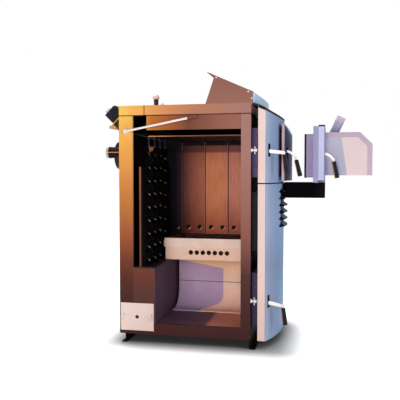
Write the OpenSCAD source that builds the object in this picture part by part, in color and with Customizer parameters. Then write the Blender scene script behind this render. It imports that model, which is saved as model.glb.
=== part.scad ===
// Solid-fuel and pellet boiler, shown as a cut-open display unit.
// X runs to the doors, Y runs from the open side to the closed side, Z is up.

/* [Casing] */
// Length of the casing from its rear face to its front face
body_l = 670; // [560:5:800]
// Width of the casing across its sides
body_w = 600; // [560:5:700]
// Height of the casing without its runners
body_h = 1155; // [1120:5:1240]
// Height of the runners under the casing
foot_h = 45; // [25:1:80]
// Thickness of the sheet that the runners are folded from
foot_t = 6; // [3:1:10]
// Width of the flange at the bottom of a runner
foot_flange = 24; // [15:1:40]
// Distance from the rear face to the web of the rear runner
foot_inset = 30; // [25:1:60]
// Thickness of the frame strips around the open side
frame_t = 15; // [8:1:18]
// Width of the rear post of the open side
rear_post_w = 72; // [60:1:90]
// Width of the front post, and thickness of the front wall
front_wall = 48; // [30:1:70]
// Height of the sill and the insulated floor
sill_h = 58; // [40:1:70]
// Thickness of the closed side wall
side_wall = 36; // [25:1:60]
// Thickness of the rear wall
rear_wall_t = 20; // [12:1:24]
// Height of the top covers
cover_h = 52; // [40:1:70]
// Length of the rear top cover
rear_cover_l = 133; // [90:1:150]
// Width of the gap between the two top covers
cover_gap = 2; // [1:0.5:4]
// Height of the shadow gap under the top covers
shadow_gap = 4; // [2:0.5:8]
// Height of the bowed lip on the front of the front top cover
lip_h = 8; // [5:1:12]
// How far that lip is set back behind the fascia
lip_in = 4; // [2:1:8]

/* [Flue passage] */
// Distance from the rear face to the plate in front of the flue passage
jacket_x = 105; // [100:1:110]
// Thickness of the plate in front of the flue passage
jacket_t = 12; // [6:1:14]
// Height of the top of that plate above the casing bottom
jacket_top = 848; // [700:1:880]
// Distance from the open side to that plate
jacket_in = 4; // [2:0.5:8]
// Distance from the rear face to the near end of the ash duct
duct_x = 72; // [60:1:90]
// Length of the ash duct along the boiler
duct_l = 115; // [110:1:130]
// Height of the top of the ash duct above the casing bottom
duct_top = 342; // [300:1:360]
// Distance from the open side to the ash duct
duct_in = 0.5; // [0.5:0.5:3]

/* [Turbulators] */
// Number of turbulators in the row
turbulator_count = 4; // [2:1:4]
// Distance between turbulators
turbulator_pitch = 100; // [90:1:110]
// Distance from the open side to the first turbulator
turbulator_y = 42; // [38:1:50]
// Width of a twisted strip
strip_w = 46; // [30:1:46]
// Thickness of a twisted strip
strip_t = 4; // [3:0.5:6]
// Height of half a turn of a strip
half_turn = 67; // [60:1:90]
// Clearance under the strips
strip_clear = 8; // [6:1:15]
// Clearance between the strips and the jacket plate
strip_side = 5; // [5:0.5:8]
// Height from the shaft down to the top of the strips
strip_drop = 76; // [70:1:110]
// Diameter of the rods that carry the strips
rod_d = 5; // [4:0.5:7]
// Inner radius of the eye on top of each rod
eye_r = 8; // [7:0.5:12]
// Play between an eye and the arm that it hangs on
eye_play = 0.8; // [0.5:0.1:1]
// Height of the collar that a rod is held in on its strip
rod_collar_h = 12; // [8:1:16]
// How deep that collar sits in its strip
rod_collar_in = 2; // [1:0.5:4]

/* [Cleaning lever] */
// Distance from the rear face to the shaft
shaft_x = 40; // [34:1:48]
// Distance from the top of the casing down to the shaft
shaft_down = 129; // [120:1:140]
// Diameter of the shaft
shaft_d = 14; // [10:1:18]
// Radial clearance of the shaft in its bores
shaft_fit = 0.05; // [0.02:0.01:0.1]
// Diameter of the arms that lift the turbulators
arm_d = 8; // [6:0.5:10]
// How far the arms hang below the horizontal at rest
arm_angle = 15; // [10:1:20]
// Length of the bare lever rod
lever_l = 325; // [280:1:350]
// Diameter of the lever rod
lever_d = 11; // [8:1:14]
// Upward tilt of the lever at rest
lever_angle = 10.5; // [5:0.5:15]
// Diameter of the ball at the foot of the lever
ball_d = 24; // [20:1:30]
// Distance from the open side to the middle of the lever
lever_out = 18; // [16:1:24]
// Length of the grip on the lever
lever_grip_l = 46; // [40:1:60]
// Diameter of the grip on the lever
lever_grip_d = 14; // [12:1:18]
// Length of the arms beyond the eyes that hang on them
arm_over = 28; // [24:1:32]
// Distance from the last turbulator to the far bearing of the shaft
bearing_off = 25; // [22:1:30]
// Width of the far bearing
bearing_w = 20; // [12:1:22]

/* [Loading chamber] */
// Thickness of the lining plates
liner_t = 5; // [3:1:8]
// Width of a lining plate
liner_w = 136; // [120:1:140]
// Distance from the rear face to the first seam
liner_seam = 192; // [185:1:200]
// Gap between lining plates
liner_gap = 2; // [1:0.5:4]
// Number of air holes
air_holes = 6; // [3:1:6]
// Distance between air holes
air_pitch = 68; // [60:1:70]
// Diameter of the air holes
air_d = 23; // [15:1:28]
// Distance from the rear face to the first air hole
air_x = 160; // [150:1:170]
// Height of the air holes above the nozzle block
air_up = 39; // [30:1:60]
// Depth of the air channel behind the lining
channel_d = 12; // [8:1:20]
// Distance from the top of the casing down to the ceiling plate
ceiling_down = 157; // [155:1:170]
// Thickness of the ceiling plate
ceiling_t = 5; // [3:1:8]
// Distance from the open side to the ceiling plate
ceiling_in = 1; // [0.5:0.5:2]
// Width of the strip of the ceiling plate beside the turbulators
ceiling_strip = 6; // [4:1:8]
// Distance from the rear end of the upper panel to that of the ceiling plate
ceiling_back = 10; // [5:1:15]
// Height of the upper panel of the open side
upper_panel_h = 71; // [60:1:80]
// Thickness of the upper panel of the open side
upper_panel_t = 14; // [8:1:18]
// Distance from the open side to the upper panel
upper_panel_in = 3; // [2:0.5:6]
// Distance from the rear face to the rear end of the upper panel
upper_panel_x = 144; // [135:1:160]
// Distance from the rear face to the rear end of the upper water space
water_space_x = 195; // [185:1:240]

/* [Ceramics] */
// Distance from the open side to the cut face of the ceramics
cut_y = 300; // [280:1:320]
// Height of the top of the nozzle block above the casing bottom
nozzle_top = 461; // [450:1:480]
// Height of the rim of the nozzle block
rim_h = 51; // [40:1:60]
// Distance from the rear face to the rear end of the rim
rim_x = 152; // [140:1:170]
// How far the body of the nozzle block is set back under its rim
rim_step = 6; // [3:1:12]
// How far the body is set back behind the cut face of its rim
block_in = 2; // [1:0.5:3]
// Length of the lug at the rear end of the block
lug_l = 10; // [6:1:16]
// Width of that lug
lug_w = 100; // [80:1:120]
// Height of that lug
lug_h = 33; // [20:1:38]
// Distance from the cut face to that lug
lug_in = 20; // [10:1:30]
// Number of secondary air holes
nozzle_holes = 7; // [3:1:7]
// Distance between secondary air holes
nozzle_pitch = 33.5; // [30:0.5:35]
// Diameter of the secondary air holes
nozzle_d = 25; // [15:1:27]
// Distance from the rear face to the first secondary air hole
nozzle_x = 302; // [280:1:320]
// Depth of the secondary air holes
nozzle_depth = 45; // [20:1:60]
// Distance from the top of the block down to the secondary air holes
nozzle_down = 78; // [70:1:90]
// Depth of the hearth recess in the top of the block
hearth_depth = 12; // [6:1:20]
// Distance from the rear end of the rim to the hearth recess
hearth_rear = 70; // [50:1:90]
// Distance from the front wall to the hearth recess
hearth_front = 80; // [60:1:100]
// Distance from the cut face and from the lining to the hearth recess
hearth_side = 55; // [50:1:65]
// Distance from the edges of the hearth recess to the flame slot
flame_in = 40; // [30:1:50]
// Width of the flame slot
flame_w = 30; // [20:1:40]
// Distance from the open side to the back wall of the gutter
gutter_y = 455; // [440:1:480]
// Radius of the corner of the gutter
gutter_r = 105; // [80:1:120]
// Thickness of the gutter at its lowest
gutter_base = 4; // [3:1:8]
// How far the gutter is set back behind the cut face of the block
gutter_in = 4; // [2:1:8]
// Height of the seam between the two rows of ceramics
gutter_seam = 198; // [180:1:220]
// Gap between the ash duct and the gutter
gutter_gap = 10; // [5:1:20]
// Gap between the two rows of ceramics
row_gap = 1.5; // [1:0.5:3]

/* [Clean-out cover] */
// Distance from the rear face to the cover
cleanout_x = 6; // [3:1:12]
// Length of the cover
cleanout_l = 174; // [150:1:180]
// Height of the cover
cleanout_h = 140; // [100:1:145]
// Height of its bottom edge above the casing bottom
cleanout_z = 18; // [10:1:30]
// Thickness of the cover
cleanout_t = 3; // [2:0.5:5]
// Diameter of the hole in the middle
peep_d = 21; // [12:1:30]
// Distance between the two round studs
stud_pitch = 74; // [60:1:90]
// Distance between the two wing nuts
wing_pitch = 146; // [135:1:150]
// Diameter of the round studs
stud_d = 12; // [8:1:16]
// Height of the round studs
stud_h = 4; // [2:0.5:6]
// Diameter of the hub of a wing nut
wing_hub_d = 10; // [8:1:14]
// Height of the hub of a wing nut
wing_hub_h = 9; // [6:1:12]
// Span of the wings of a wing nut
wing_span = 32; // [24:1:34]
// Thickness of the wings
wing_t = 4; // [3:0.5:6]
// Width of the wings
wing_w = 8; // [6:0.5:9]
// How far the wings stand out past their hub
wing_over = 3; // [2:0.5:4]
// Turn of a wing nut away from upright
wing_turn = 25; // [0:5:45]

/* [Doors] */
// Height of the seam between the two door covers
seam_z = 767; // [740:1:780]
// Gap between the two door covers
seam_gap = 6; // [5:1:10]
// Distance from the front wall to the edge of the upper cover
door_gap = 35; // [34:1:42]
// Depth of the side flanges of the covers
flange_d = 39; // [30:1:50]
// How far the bowed front stands out in the middle
bow = 61; // [40:1:80]
// Thickness of the cover sheet
sheet = 3; // [2:0.5:4]
// Forward slope of the top edge of the upper cover
cover_slope = 24; // [15:1:28]
// Distance from the top of the casing down to the top of the upper cover
cover_down = 15; // [12:1:25]
// Thickness of a door
door_t = 28; // [20:1:29]
// Thickness of the seal between a door and the front wall
seal_t = 3.6; // [2:0.1:4]
// Gap between a seal and its door
seal_gap = 0.4; // [0.3:0.1:0.8]
// Width of a seal
seal_w = 12; // [8:1:12]
// Distance from the edge of a doorway to its seal
seal_in = 2; // [1:0.5:2]
// Distance from the sides of the casing to the near edge of a door
door_inset = 22; // [20:1:30]
// Height of the bottom of the lower door
lower_door_z = 70; // [62:1:80]
// Height of the lower door
lower_door_h = 260; // [240:1:270]
// Distance from the seam up to the upper door
upper_door_up = 30; // [20:1:40]
// Distance from the top of the casing down to the upper door
upper_door_down = 120; // [110:1:130]
// Distance from the front wall to the hinge line
hinge_x = 32; // [32:0.5:34]
// Distance from the closed side to the hinge line
hinge_in = 15; // [14:0.5:18]
// Radius of the hinge pins
pin_r = 6; // [4:0.5:7]
// Outer radius of the hinge knuckles
knuckle_r = 11; // [9:0.5:11.5]
// Height of a hinge knuckle
knuckle_h = 44; // [30:1:60]
// Gap between a hinge knuckle and the slab of its door
knuckle_gap = 6.6; // [6:0.2:7]
// Distance from the ends of a door to its hinge knuckles
hinge_end = 30; // [24:1:40]
// Thickness of the brackets that carry the hinge pins
bracket_t = 8; // [5:0.5:9]
// Width of those brackets
bracket_w = 16; // [14:1:18]
// Play between a bracket and the knuckle above it
bracket_play = 0.3; // [0.1:0.1:0.5]
// How far a hinge pin stands out at both ends of its knuckle
pin_over = 4; // [3:0.5:5]
// Depth of the cut-outs for the hinges in a cover, before the hinge line
hinge_room = 24; // [20:1:30]
// Side of the frame around the lower doorway
doorway_side = 110; // [100:1:130]
// How far the lower door laps over the edges of its doorway
lower_lap = 15; // [15:1:20]
// How far the upper door laps over the edges of its doorway
upper_lap = 23; // [16:1:26]
// Radial clearance of hinge pins and pivot pins
pin_fit = 0.06; // [0.02:0.01:0.1]
// Thickness of the shelves that stiffen the covers
stiffener_t = 4; // [2:0.5:6]
// Distance from the sides of the casing to those shelves
stiffener_side = 60; // [50:1:80]
// Distance from the ends of the lower door to the shelves before it
stiffener_in = 40; // [30:1:60]
// Height of the middle shelf above the lower door
stiffener_up = 190; // [150:1:200]
// Distance from the seam down to the top shelf of the lower cover
stiffener_down = 25; // [15:1:30]
// How far the shelves beside the air box stand off from the plane of the doors
stiffener_off = 8; // [6:1:12]
// Distance from the bottom of the upper door to the shelf before it
upper_shelf_up = 2; // [1:1:8]
// Distance from the top of the upper door down to the shelf before it
upper_shelf_down = 6; // [4:1:10]

/* [Louvres] */
// Number of louvres
louvre_count = 6; // [3:1:6]
// Distance between louvres
louvre_pitch = 35; // [32:1:40]
// Distance from the seam down to the first louvre
louvre_down = 41; // [36:1:50]
// Width of the louvres across the door
louvre_w = 220; // [190:1:240]
// How far a hood stands out
louvre_out = 20; // [12:1:26]
// Height of a louvre slot
louvre_slot = 14; // [8:1:18]
// Thickness of a hood
hood_t = 2.5; // [1.5:0.5:4]
// How far the lip of a hood hangs below the middle of its slot
hood_drop = 4; // [2:0.5:6]
// Thickness of the cheeks that close the ends of a hood
cheek_t = 2; // [1.5:0.5:4]

/* [Air box] */
// Height of the air box above the casing bottom
air_box_z = 434; // [400:1:460]
// Height of the air box
air_box_h = 290; // [200:1:300]
// Depth of the air box
air_box_d = 26; // [15:1:28]
// Distance from the sides of the casing to the air box
air_box_in = 40; // [38:1:60]
// Gap between the air box and the front wall that it is screwed to
air_box_gap = 0.2; // [0.1:0.1:0.6]

/* [Blind door] */
// Width of the blind door across the boiler
blind_w = 320; // [280:1:340]
// Height of the blind door
blind_h = 286; // [260:1:290]
// Distance from the seam up to the blind door
blind_up = 10; // [8:1:20]
// Distance from the front wall to the plate of the blind door
blind_x = 136; // [135:1:145]
// Thickness of the plate of the blind door
blind_t = 14; // [8:1:18]
// How far its bowed cover stands out
blind_bow = 28; // [20:1:35]
// Distance from the edge of the plate to the plug behind it
plug_in = 30; // [24:1:40]
// Slope of the top of its bowed cover
blind_slope = 60; // [50:1:65]
// Height of the bottom of its bowed cover above the plate's edge
blind_cover_up = 2; // [1:1:6]
// Depth of the flanges of its bowed cover
blind_edge = 4; // [3:1:8]
// Clearance around the plug in the upper cover
plug_room = 4; // [2:0.5:6]

/* [Burner] */
// Distance from the front wall to the plug of the burner door
plug_x = 247; // [245:1:260]
// Depth of the plug of the burner door
plug_d = 44; // [30:1:60]
// Thickness of the burner door
burner_door_t = 26; // [20:1:35]
// Thickness of the cover on the burner door
burner_cover_t = 31; // [25:1:40]
// Height of the burner door and of its cover
burner_door_h = 279; // [260:1:290]
// How far the cover sits above the bottom of the burner door
burner_cover_up = 5; // [2:1:10]
// Height of the plug of the burner door
burner_plug_h = 213; // [190:1:225]
// Height of the plug above the bottom of the burner door
burner_plug_up = 27; // [20:1:35]
// Length of the burner casing
burner_l = 230; // [200:1:260]
// Width of the burner casing
burner_w = 210; // [180:1:230]
// Height of the burner casing
burner_h = 215; // [190:1:230]
// Height of the burner casing above the shelf
burner_up = 36; // [20:1:50]
// Size of the chamfer on the front of the burner casing
burner_chamfer = 60; // [40:1:75]
// Width of the bevelled border on the sides of the burner casing
border = 26; // [15:1:35]
// Depth of the bevelled border
border_d = 8; // [4:1:12]
// Outer diameter of the feed tube
feed_d = 45; // [35:1:60]
// Wall of the feed tube
feed_wall = 2; // [1.5:0.5:4]
// Length of the feed tube
feed_l = 92; // [70:1:120]
// Forward tilt of the feed tube
feed_tilt = 25; // [15:1:30]
// Distance from the burner cover to the feed tube
feed_x = 42; // [36:1:60]
// Distance from the front of the burner cover to the pin of its lever
burner_pin_in = 10; // [9:0.5:12]
// Depth of the pocket around that lever
pocket_d = 24; // [22:1:28]

/* [Shelf] */
// Length of the shelf under the burner door
shelf_l = 214; // [200:1:225]
// Width of the shelf
shelf_w = 130; // [100:1:150]
// Height of the shelf
shelf_h = 80; // [50:1:85]
// How far the top of the shelf stands above the seam between the covers
shelf_up = 3; // [0:1:3]
// Thickness of the plate that holds the shelf on the lower cover
shelf_mount = 6; // [5:0.5:10]
// Radius of the outer corners of the shelf
shelf_r = 23; // [10:1:40]
// Clearance around the shelf in the louvres behind it
shelf_room = 6; // [4:1:10]

/* [Latches] */
// Length of the grips
grip_l = 92; // [70:1:110]
// Diameter of the grips
grip_d = 20; // [16:1:24]
// Width of the lever bars
bar_w = 7; // [5:0.5:9]
// Height of the lever bars
bar_h = 12; // [8:1:16]
// Distance from the side of the casing to the middle of the door levers
latch_y = 27; // [26:1:30]
// Height of the upper lever above the casing bottom
upper_latch_z = 928; // [910:1:950]
// Height of the lower lever above the casing bottom
lower_latch_z = 192; // [180:1:210]
// Radius of the pins that the latch levers turn on
latch_pin_r = 4; // [3:0.5:5]
// Height of the slots that the levers pass through
slot_h = 56; // [50:1:70]
// Clearance beside a lever in its slot
slot_side = 1.5; // [1:0.5:3]
// Distance from the front wall to the pins of the door levers
pivot_out = 52; // [50:1:55]
// Radius of the hubs of the door levers
hub_r = 10; // [8:0.5:10.5]
// Length of the bar of the upper lever
upper_reach = 104; // [95:1:112]
// Downward slope of the bar of the upper lever
upper_droop = 7; // [5:0.5:9]
// Outward tilt of the grip of the upper lever
upper_tilt = 8; // [5:1:12]
// Length of the bar of the lower lever
lower_reach = 106; // [98:1:114]
// Downward slope of the bar of the lower lever
lower_droop = 11; // [8:0.5:12]
// Outward tilt of the grip of the lower lever
lower_tilt = 7; // [4:1:10]
// Distance from the edge of the blind door to the middle of its lever
front_latch_in = 25; // [22:1:28]
// Distance from the upper lever down to the middle of the slot in the blind cover
front_latch_down = 14; // [10:1:16]
// Radius of the arch of the blind door's lever
blind_arch_r = 60; // [56:1:64]
// Angle of the arch of the blind door's lever
blind_arch = 66; // [60:1:70]
// Outward tilt of the grip of the blind door's lever
blind_tilt = 14; // [10:1:18]
// Radius of the arch of the burner door's lever
burner_arch_r = 58; // [54:1:62]
// Angle of the arch of the burner door's lever
burner_arch = 61; // [56:1:66]
// Outward tilt of the grip of the burner door's lever
burner_tilt = 12; // [8:1:16]
// Radius of the hub of the burner door's lever
burner_hub_r = 8; // [7:0.5:8.5]
// How much that hub stands out beside its bar
hub_side = 0.5; // [0.2:0.1:0.6]
// Gap between a lever and the bracket beside it
lever_gap = 1; // [0.5:0.5:2]
// Thickness of the brackets that carry the pins of the door levers
lever_bracket_t = 6; // [4:0.5:8]
// Height of those brackets
lever_bracket_h = 22; // [18:1:26]
// How far those brackets reach past their pins
lever_bracket_over = 8; // [7:0.5:10]
// How much the head of a pin stands out around it
pin_head = 3; // [2:0.5:4]
// Thickness of the head of a pin
pin_head_t = 2.5; // [1.5:0.5:2.5]
// Gap between a lever and the head of its pin
pin_head_gap = 0.5; // [0.3:0.1:0.8]
// How much the boss at the end of a lever stands out beside its bar
boss_side = 1; // [0.5:0.5:2]
// How much that boss stands out above and below the bar
boss_over = 1.5; // [1:0.5:3]
// Distance from the boss to the grip
grip_start = 12; // [11:0.5:14]
// Size of the chamfer on the end of a grip
grip_chamfer = 4; // [2:0.5:5]
// Distance from the open side to the studs that the door levers catch on
catch_in = 12; // [10:0.5:13]
// Diameter of a catch stud
catch_d = 12; // [9:0.5:12]
// Clearance between a catch stud and the cover before it
catch_gap = 2; // [1:0.5:4]
// Distance from the front wall to the cross pin of a catch stud
cross_out = 18; // [12:1:24]
// Diameter of a cross pin
cross_d = 6; // [4:0.5:6.5]
// Length of a cross pin
cross_l = 40; // [30:1:44]

/* [Control box] */
// Distance from the front face to the rear foot of the control box
box_l = 224; // [190:1:250]
// How far its front foot stands in front of the casing
box_front = 11; // [5:1:20]
// Height of its front edge
box_front_h = 50; // [40:1:70]
// Slope of its lid
box_slope = 24; // [18:1:28]
// Backward lean of its rear edge
box_lean = 18.5; // [10:0.5:25]
// Length of its lid overhang
lid_over = 40; // [20:1:50]
// Thickness of its lid and sides
lid_t = 3; // [2:0.5:5]
// How far its bowed fascia stands out
fascia_bow = 37; // [25:1:50]
// Thickness of the fascia
fascia_t = 6; // [4:1:10]
// Gap between the fascia and the top cover under it
fascia_gap = 0.5; // [0.3:0.1:0.8]

/* [Rear connections] */
// Outer diameter of the flow and return pipes
pipe_d = 60; // [48:1:76]
// Wall of the flow and return pipes
pipe_wall = 4; // [3:0.5:5]
// Length of the flow and return pipes
pipe_l = 100; // [60:1:120]
// Width of the thread collar on the pipes
collar_l = 15; // [10:1:25]
// Distance from the open side to the flow pipe
flow_y = 100; // [90:1:120]
// Height of the flow pipe above the casing bottom
flow_z = 925; // [880:1:960]
// Height of the return pipe above the casing bottom
return_z = 140; // [110:1:200]
// Wall that closes a pipe or the flue spigot at the boiler
end_wall = 4; // [3:1:8]
// Depth of the smoke box
smoke_d = 58; // [50:1:66]
// Width of the smoke box
smoke_w = 260; // [240:1:300]
// Height of the smoke box
smoke_h = 332; // [310:1:360]
// Distance from the top of the casing down to the smoke box
smoke_down = 3; // [2:1:8]
// Width of the hood that carries the fan plate
hood_w = 120; // [100:1:140]
// How far that hood stands out from the smoke box
hood_out = 58; // [50:1:62]
// Height of that hood on the smoke box
hood_h = 118; // [110:1:125]
// Distance from the top of the casing down to the middle of the flue spigot
flue_down = 240; // [230:1:250]
// Diameter of the flue spigot
flue_d = 150; // [130:1:160]
// Length of the flue spigot
flue_l = 52; // [30:1:60]
// Wall of the flue spigot
flue_wall = 3; // [2:0.5:5]

/* [Extraction fan] */
// Distance from the rear face to the middle of the fan plate
fan_out = 92; // [85:1:100]
// Distance from the top of the casing down to the middle of the fan plate
fan_down = 50; // [45:1:60]
// Length of the slanted fan plate
fan_plate_l = 127; // [110:1:140]
// Width of the fan plate
fan_plate_w = 150; // [130:1:170]
// Thickness of the fan plate
fan_plate_t = 4; // [3:0.5:6]
// Distance between the fan plate and the motor
fan_neck = 12; // [8:1:20]
// Diameter of the neck of the motor
neck_d = 47; // [36:1:56]
// Side of the motor
motor_w = 78; // [60:1:90]
// Length of the motor
motor_l = 66; // [50:1:80]
// Side of the light plate on the motor
motor_cap_w = 56; // [40:1:70]
// Thickness of the light plate on the motor
motor_cap_t = 4; // [2:1:8]
// Side of the terminal box on the motor
terminal_w = 34; // [25:1:40]
// Height of the terminal box on the motor
terminal_h = 14; // [10:1:20]
// How far the terminal box sits below the middle of the motor
terminal_shift = 12; // [5:1:15]

/* [Top fittings] */
// Distance from the rear face to the vent pipe
vent_x = 107; // [80:1:110]
// Diameter of the vent pipe
vent_d = 26; // [20:1:34]
// Height of the vent pipe
vent_h = 66; // [50:1:80]
// Diameter of the cap on the vent pipe
vent_cap_d = 36; // [30:1:44]
// Height of the cap on the vent pipe
vent_cap_h = 24; // [15:1:30]
// Distance from the rear face to the sensor plug
plug_knob_x = 194; // [170:1:220]
// Distance from the open side to the sensor plug
plug_knob_y = 120; // [60:5:400]
// Diameter of the sensor plug
plug_knob_d = 30; // [20:1:40]
// Height of the sensor plug
plug_knob_h = 22; // [15:1:30]

/* [Hidden] */
$fn = 96;
eps = 1;
fine = 360;
fan_lean = 45;
turn_slices = 10;

// reach of the outline, from which the origin under its middle follows
fan_reach = fan_plate_t + fan_neck + motor_l + motor_cap_t + terminal_h;
x_low = -fan_out - (fan_reach + terminal_shift + terminal_w / 2) * sin(fan_lean);
burner_x = plug_x + plug_d + burner_door_t + burner_cover_t;
x_high = body_l + burner_x + burner_l;
y_low = -lever_out - ball_d / 2;

// planes of the casing
rear_x = -(x_low + x_high) / 2;
front_x = rear_x + body_l;
open_y = -(y_low + body_w) / 2;
closed_y = open_y + body_w;
mid_y = open_y + body_w / 2;
base_z = foot_h;
top_z = base_z + body_h;
rail_z = top_z - cover_h;
inner_x = front_x - front_wall;
inner_y = closed_y - side_wall;
floor_z = base_z + sill_h;
inside_y = open_y + frame_t;

// interior
duct_z = base_z + duct_top;
duct_end = rear_x + duct_x + duct_l;
jacket_end = rear_x + jacket_x + jacket_t;
hearth_z = base_z + nozzle_top;
ceiling_z = top_z - ceiling_down;
panel_z = rail_z - upper_panel_h;
water_y = open_y + upper_panel_in + upper_panel_t;
gutter_x = duct_end + gutter_gap;
seam_low = base_z + gutter_seam;
ceramic_y = open_y + cut_y;
liner_y = inner_y - liner_t;

// cleaning gear
lift_x = jacket_end + strip_side + strip_w / 2;
shaft_at = rear_x + shaft_x;
shaft_z = top_z - shaft_down;
arm_reach = lift_x - shaft_at;
eye_drop = eye_r - arm_d / 2 - eye_play;
eye_z = shaft_z - arm_reach * tan(arm_angle) - eye_drop;
strip_top = shaft_z - strip_drop;
last_y = open_y + turbulator_y + (turbulator_count - 1) * turbulator_pitch;

// doors
seam = base_z + seam_z;
door_x = front_x + seal_t + seal_gap;
door_face = door_x + door_t;
cover_x = front_x + door_gap;
cover_edge = cover_x + flange_d;
cover_tip = cover_edge + bow;
cover_top = top_z - cover_down;
hinge_at = front_x + hinge_x;
hinge_y = closed_y - hinge_in;
door_far = hinge_y - knuckle_r - knuckle_gap;
lower_z = base_z + lower_door_z;
lower_top = lower_z + lower_door_h;
upper_z = seam + upper_door_up;
upper_top = top_z - upper_door_down;
hinge_heights = [
    for (z = [lower_z, upper_z]) for (up = [0, 1])
        z + hinge_end + up * ((z == lower_z ? lower_top : upper_top) - z - 2 * hinge_end - knuckle_h)
];
pivot_x = front_x + pivot_out;
latch_at = open_y + latch_y;
upper_latch = base_z + upper_latch_z;
lower_latch = base_z + lower_latch_z;
bow_r = (body_w * body_w / 4 + bow * bow) / (2 * bow);
blind_low = seam + blind_up;
blind_at = front_x + blind_x;
blind_face = blind_at + blind_t;
shelf_x = cover_tip + 0.3;
shelf_z = seam + shelf_up;
plug_at = front_x + plug_x;
burner_plate_x = plug_at + plug_d;
burner_cover_x = burner_plate_x + burner_door_t;
burner_at = front_x + burner_x;
burner_z = shelf_z + burner_up;
burner_top = burner_z + burner_h;
front_latch_y = mid_y - blind_w / 2 + front_latch_in;
front_latch_z = upper_latch - front_latch_down;
burner_pin_x = burner_at - burner_pin_in;
fan_x = rear_x - fan_out;
fan_z = top_z - fan_down;

// a block between two opposite corners
module block(low, high) translate(low) cube(high - low);

// the part of its children below a plane that falls towards the front
module below(x, z, slope) {
    intersection() {
        children();
        translate([x, 0, z]) rotate([0, slope, 0])
            translate([-body_l, -body_w, -2 * body_h]) cube([2 * body_l, 2 * body_w, 2 * body_h]);
    }
}

// plan of a bow-fronted body: a rectangle with a circular front
module bow_plan(back, edge, width, rise, inset = 0) {
    r = (width * width / 4 + rise * rise) / (2 * rise);
    half = width / 2 - inset;
    translate([back, mid_y - half]) square([edge - inset - back, 2 * half]);
    intersection() {
        translate([edge + rise - r, mid_y]) circle(r = r - inset, $fn = fine);
        translate([edge - inset - eps, mid_y - half]) square([rise + 2 * eps, 2 * half]);
    }
}

// a cylinder along X or Y, from its start point
module along_x(at, r, l) translate(at) rotate([0, 90, 0]) cylinder(r = r, h = l);
module along_y(at, r, l) translate(at) rotate([-90, 0, 0]) cylinder(r = r, h = l);

// L-section runners under the casing, with their feet turned outwards
module runners() {
    color("#2b1a17") {
        x = rear_x + foot_inset;
        block([x, open_y, 0], [x + foot_t, closed_y, base_z]);
        block([x - foot_flange + foot_t, open_y, 0], [x + foot_t, closed_y, foot_t]);
        block([front_x - foot_t, open_y, 0], [front_x, closed_y, base_z]);
        block([front_x - foot_t, open_y, 0], [front_x + foot_flange, closed_y, foot_t]);
    }
}

module floor() {
    color("#4a2c24") block([rear_x, inside_y, base_z], [front_x, closed_y, floor_z]);
}

module sill() {
    color("#4a2c24") block([rear_x, open_y, base_z], [front_x, inside_y, floor_z]);
}

// the rear post has a bearing for the shaft of the cleaning lever
module rear_post() {
    color("#9a5a34") difference() {
        block([rear_x, open_y, floor_z], [rear_x + rear_post_w, inside_y, rail_z]);
        along_y([shaft_at, open_y - eps, shaft_z], shaft_d / 2 + shaft_fit, frame_t + 2 * eps);
    }
}

module front_post() {
    color("#7c4a3a") block([inner_x, open_y, floor_z], [front_x, inside_y, rail_z]);
}

// the closed side has an air channel behind the holes of the lining
module closed_side() {
    color("#7c4a3a") difference() {
        block([rear_x, inner_y, floor_z], [front_x, closed_y, rail_z]);
        block([rear_x + air_x - air_d, inner_y - eps, hearth_z + air_up - air_d],
              [rear_x + air_x + (air_holes - 1) * air_pitch + air_d, inner_y + channel_d,
               hearth_z + air_up + air_d]);
    }
}

// the rear wall carries the far bearing of the shaft
module rear_wall() {
    bearing_y = last_y + bearing_off;
    color("#5a3426") difference() {
        union() {
            block([rear_x, inside_y, floor_z], [rear_x + rear_wall_t, inner_y, rail_z]);
            block([rear_x + rear_wall_t - eps, bearing_y, shaft_z - shaft_d],
                  [shaft_at + shaft_d, bearing_y + bearing_w, shaft_z + shaft_d]);
        }
        along_y([shaft_at, bearing_y - eps, shaft_z], shaft_d / 2 + shaft_fit,
                bearing_w + 2 * eps);
    }
}

// rails and stiles around the two doorways of the front wall
function doorway(z0, z1, lap) =
    [open_y + doorway_side, z0 + lap, closed_y - doorway_side, z1 - lap];
lower_way = doorway(lower_z, lower_top, lower_lap);
upper_way = doorway(upper_z, upper_top, upper_lap);

module front_rails() {
    color("#3a2520") {
        for (span = [[floor_z, lower_way[1]], [lower_way[3], upper_way[1]], [upper_way[3], rail_z]])
            block([inner_x, inside_y, span[0]], [front_x, inner_y, span[1]]);
    }
}

module front_stiles() {
    color("#3a2520") {
        for (way = [lower_way, upper_way]) {
            block([inner_x, inside_y, way[1]], [front_x, way[0], way[3]]);
            block([inner_x, way[2], way[1]], [front_x, inner_y, way[3]]);
        }
    }
}

// a folded top cover: a full plate over a smaller skirt that leaves the shadow gap
module top_cover(x0, x1) {
    block([x0, open_y, rail_z + shadow_gap], [x1, closed_y, top_z]);
    block([x0 + shadow_gap, open_y + shadow_gap, rail_z],
          [x1 - shadow_gap, closed_y - shadow_gap, rail_z + shadow_gap + eps]);
}

module rear_top_cover() {
    color("#c98a4a") top_cover(rear_x, rear_x + rear_cover_l - cover_gap / 2);
}

// the front top cover ends in a bowed lip under the control box
module front_top_cover() {
    color("#a66a4e") {
        top_cover(rear_x + rear_cover_l + cover_gap / 2, front_x);
        translate([0, 0, top_z - lip_h]) linear_extrude(lip_h)
            bow_plan(front_x - eps, front_x + box_front, body_w, fascia_bow - lip_in);
    }
}

module upper_panel() {
    color("#a66a4e")
        block([rear_x + upper_panel_x, open_y + upper_panel_in, panel_z],
              [inner_x, water_y, rail_z]);
}

module water_space() {
    color("#2a1a18")
        block([rear_x + water_space_x, water_y, panel_z],
              [inner_x, inner_y, rail_z]);
}

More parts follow.
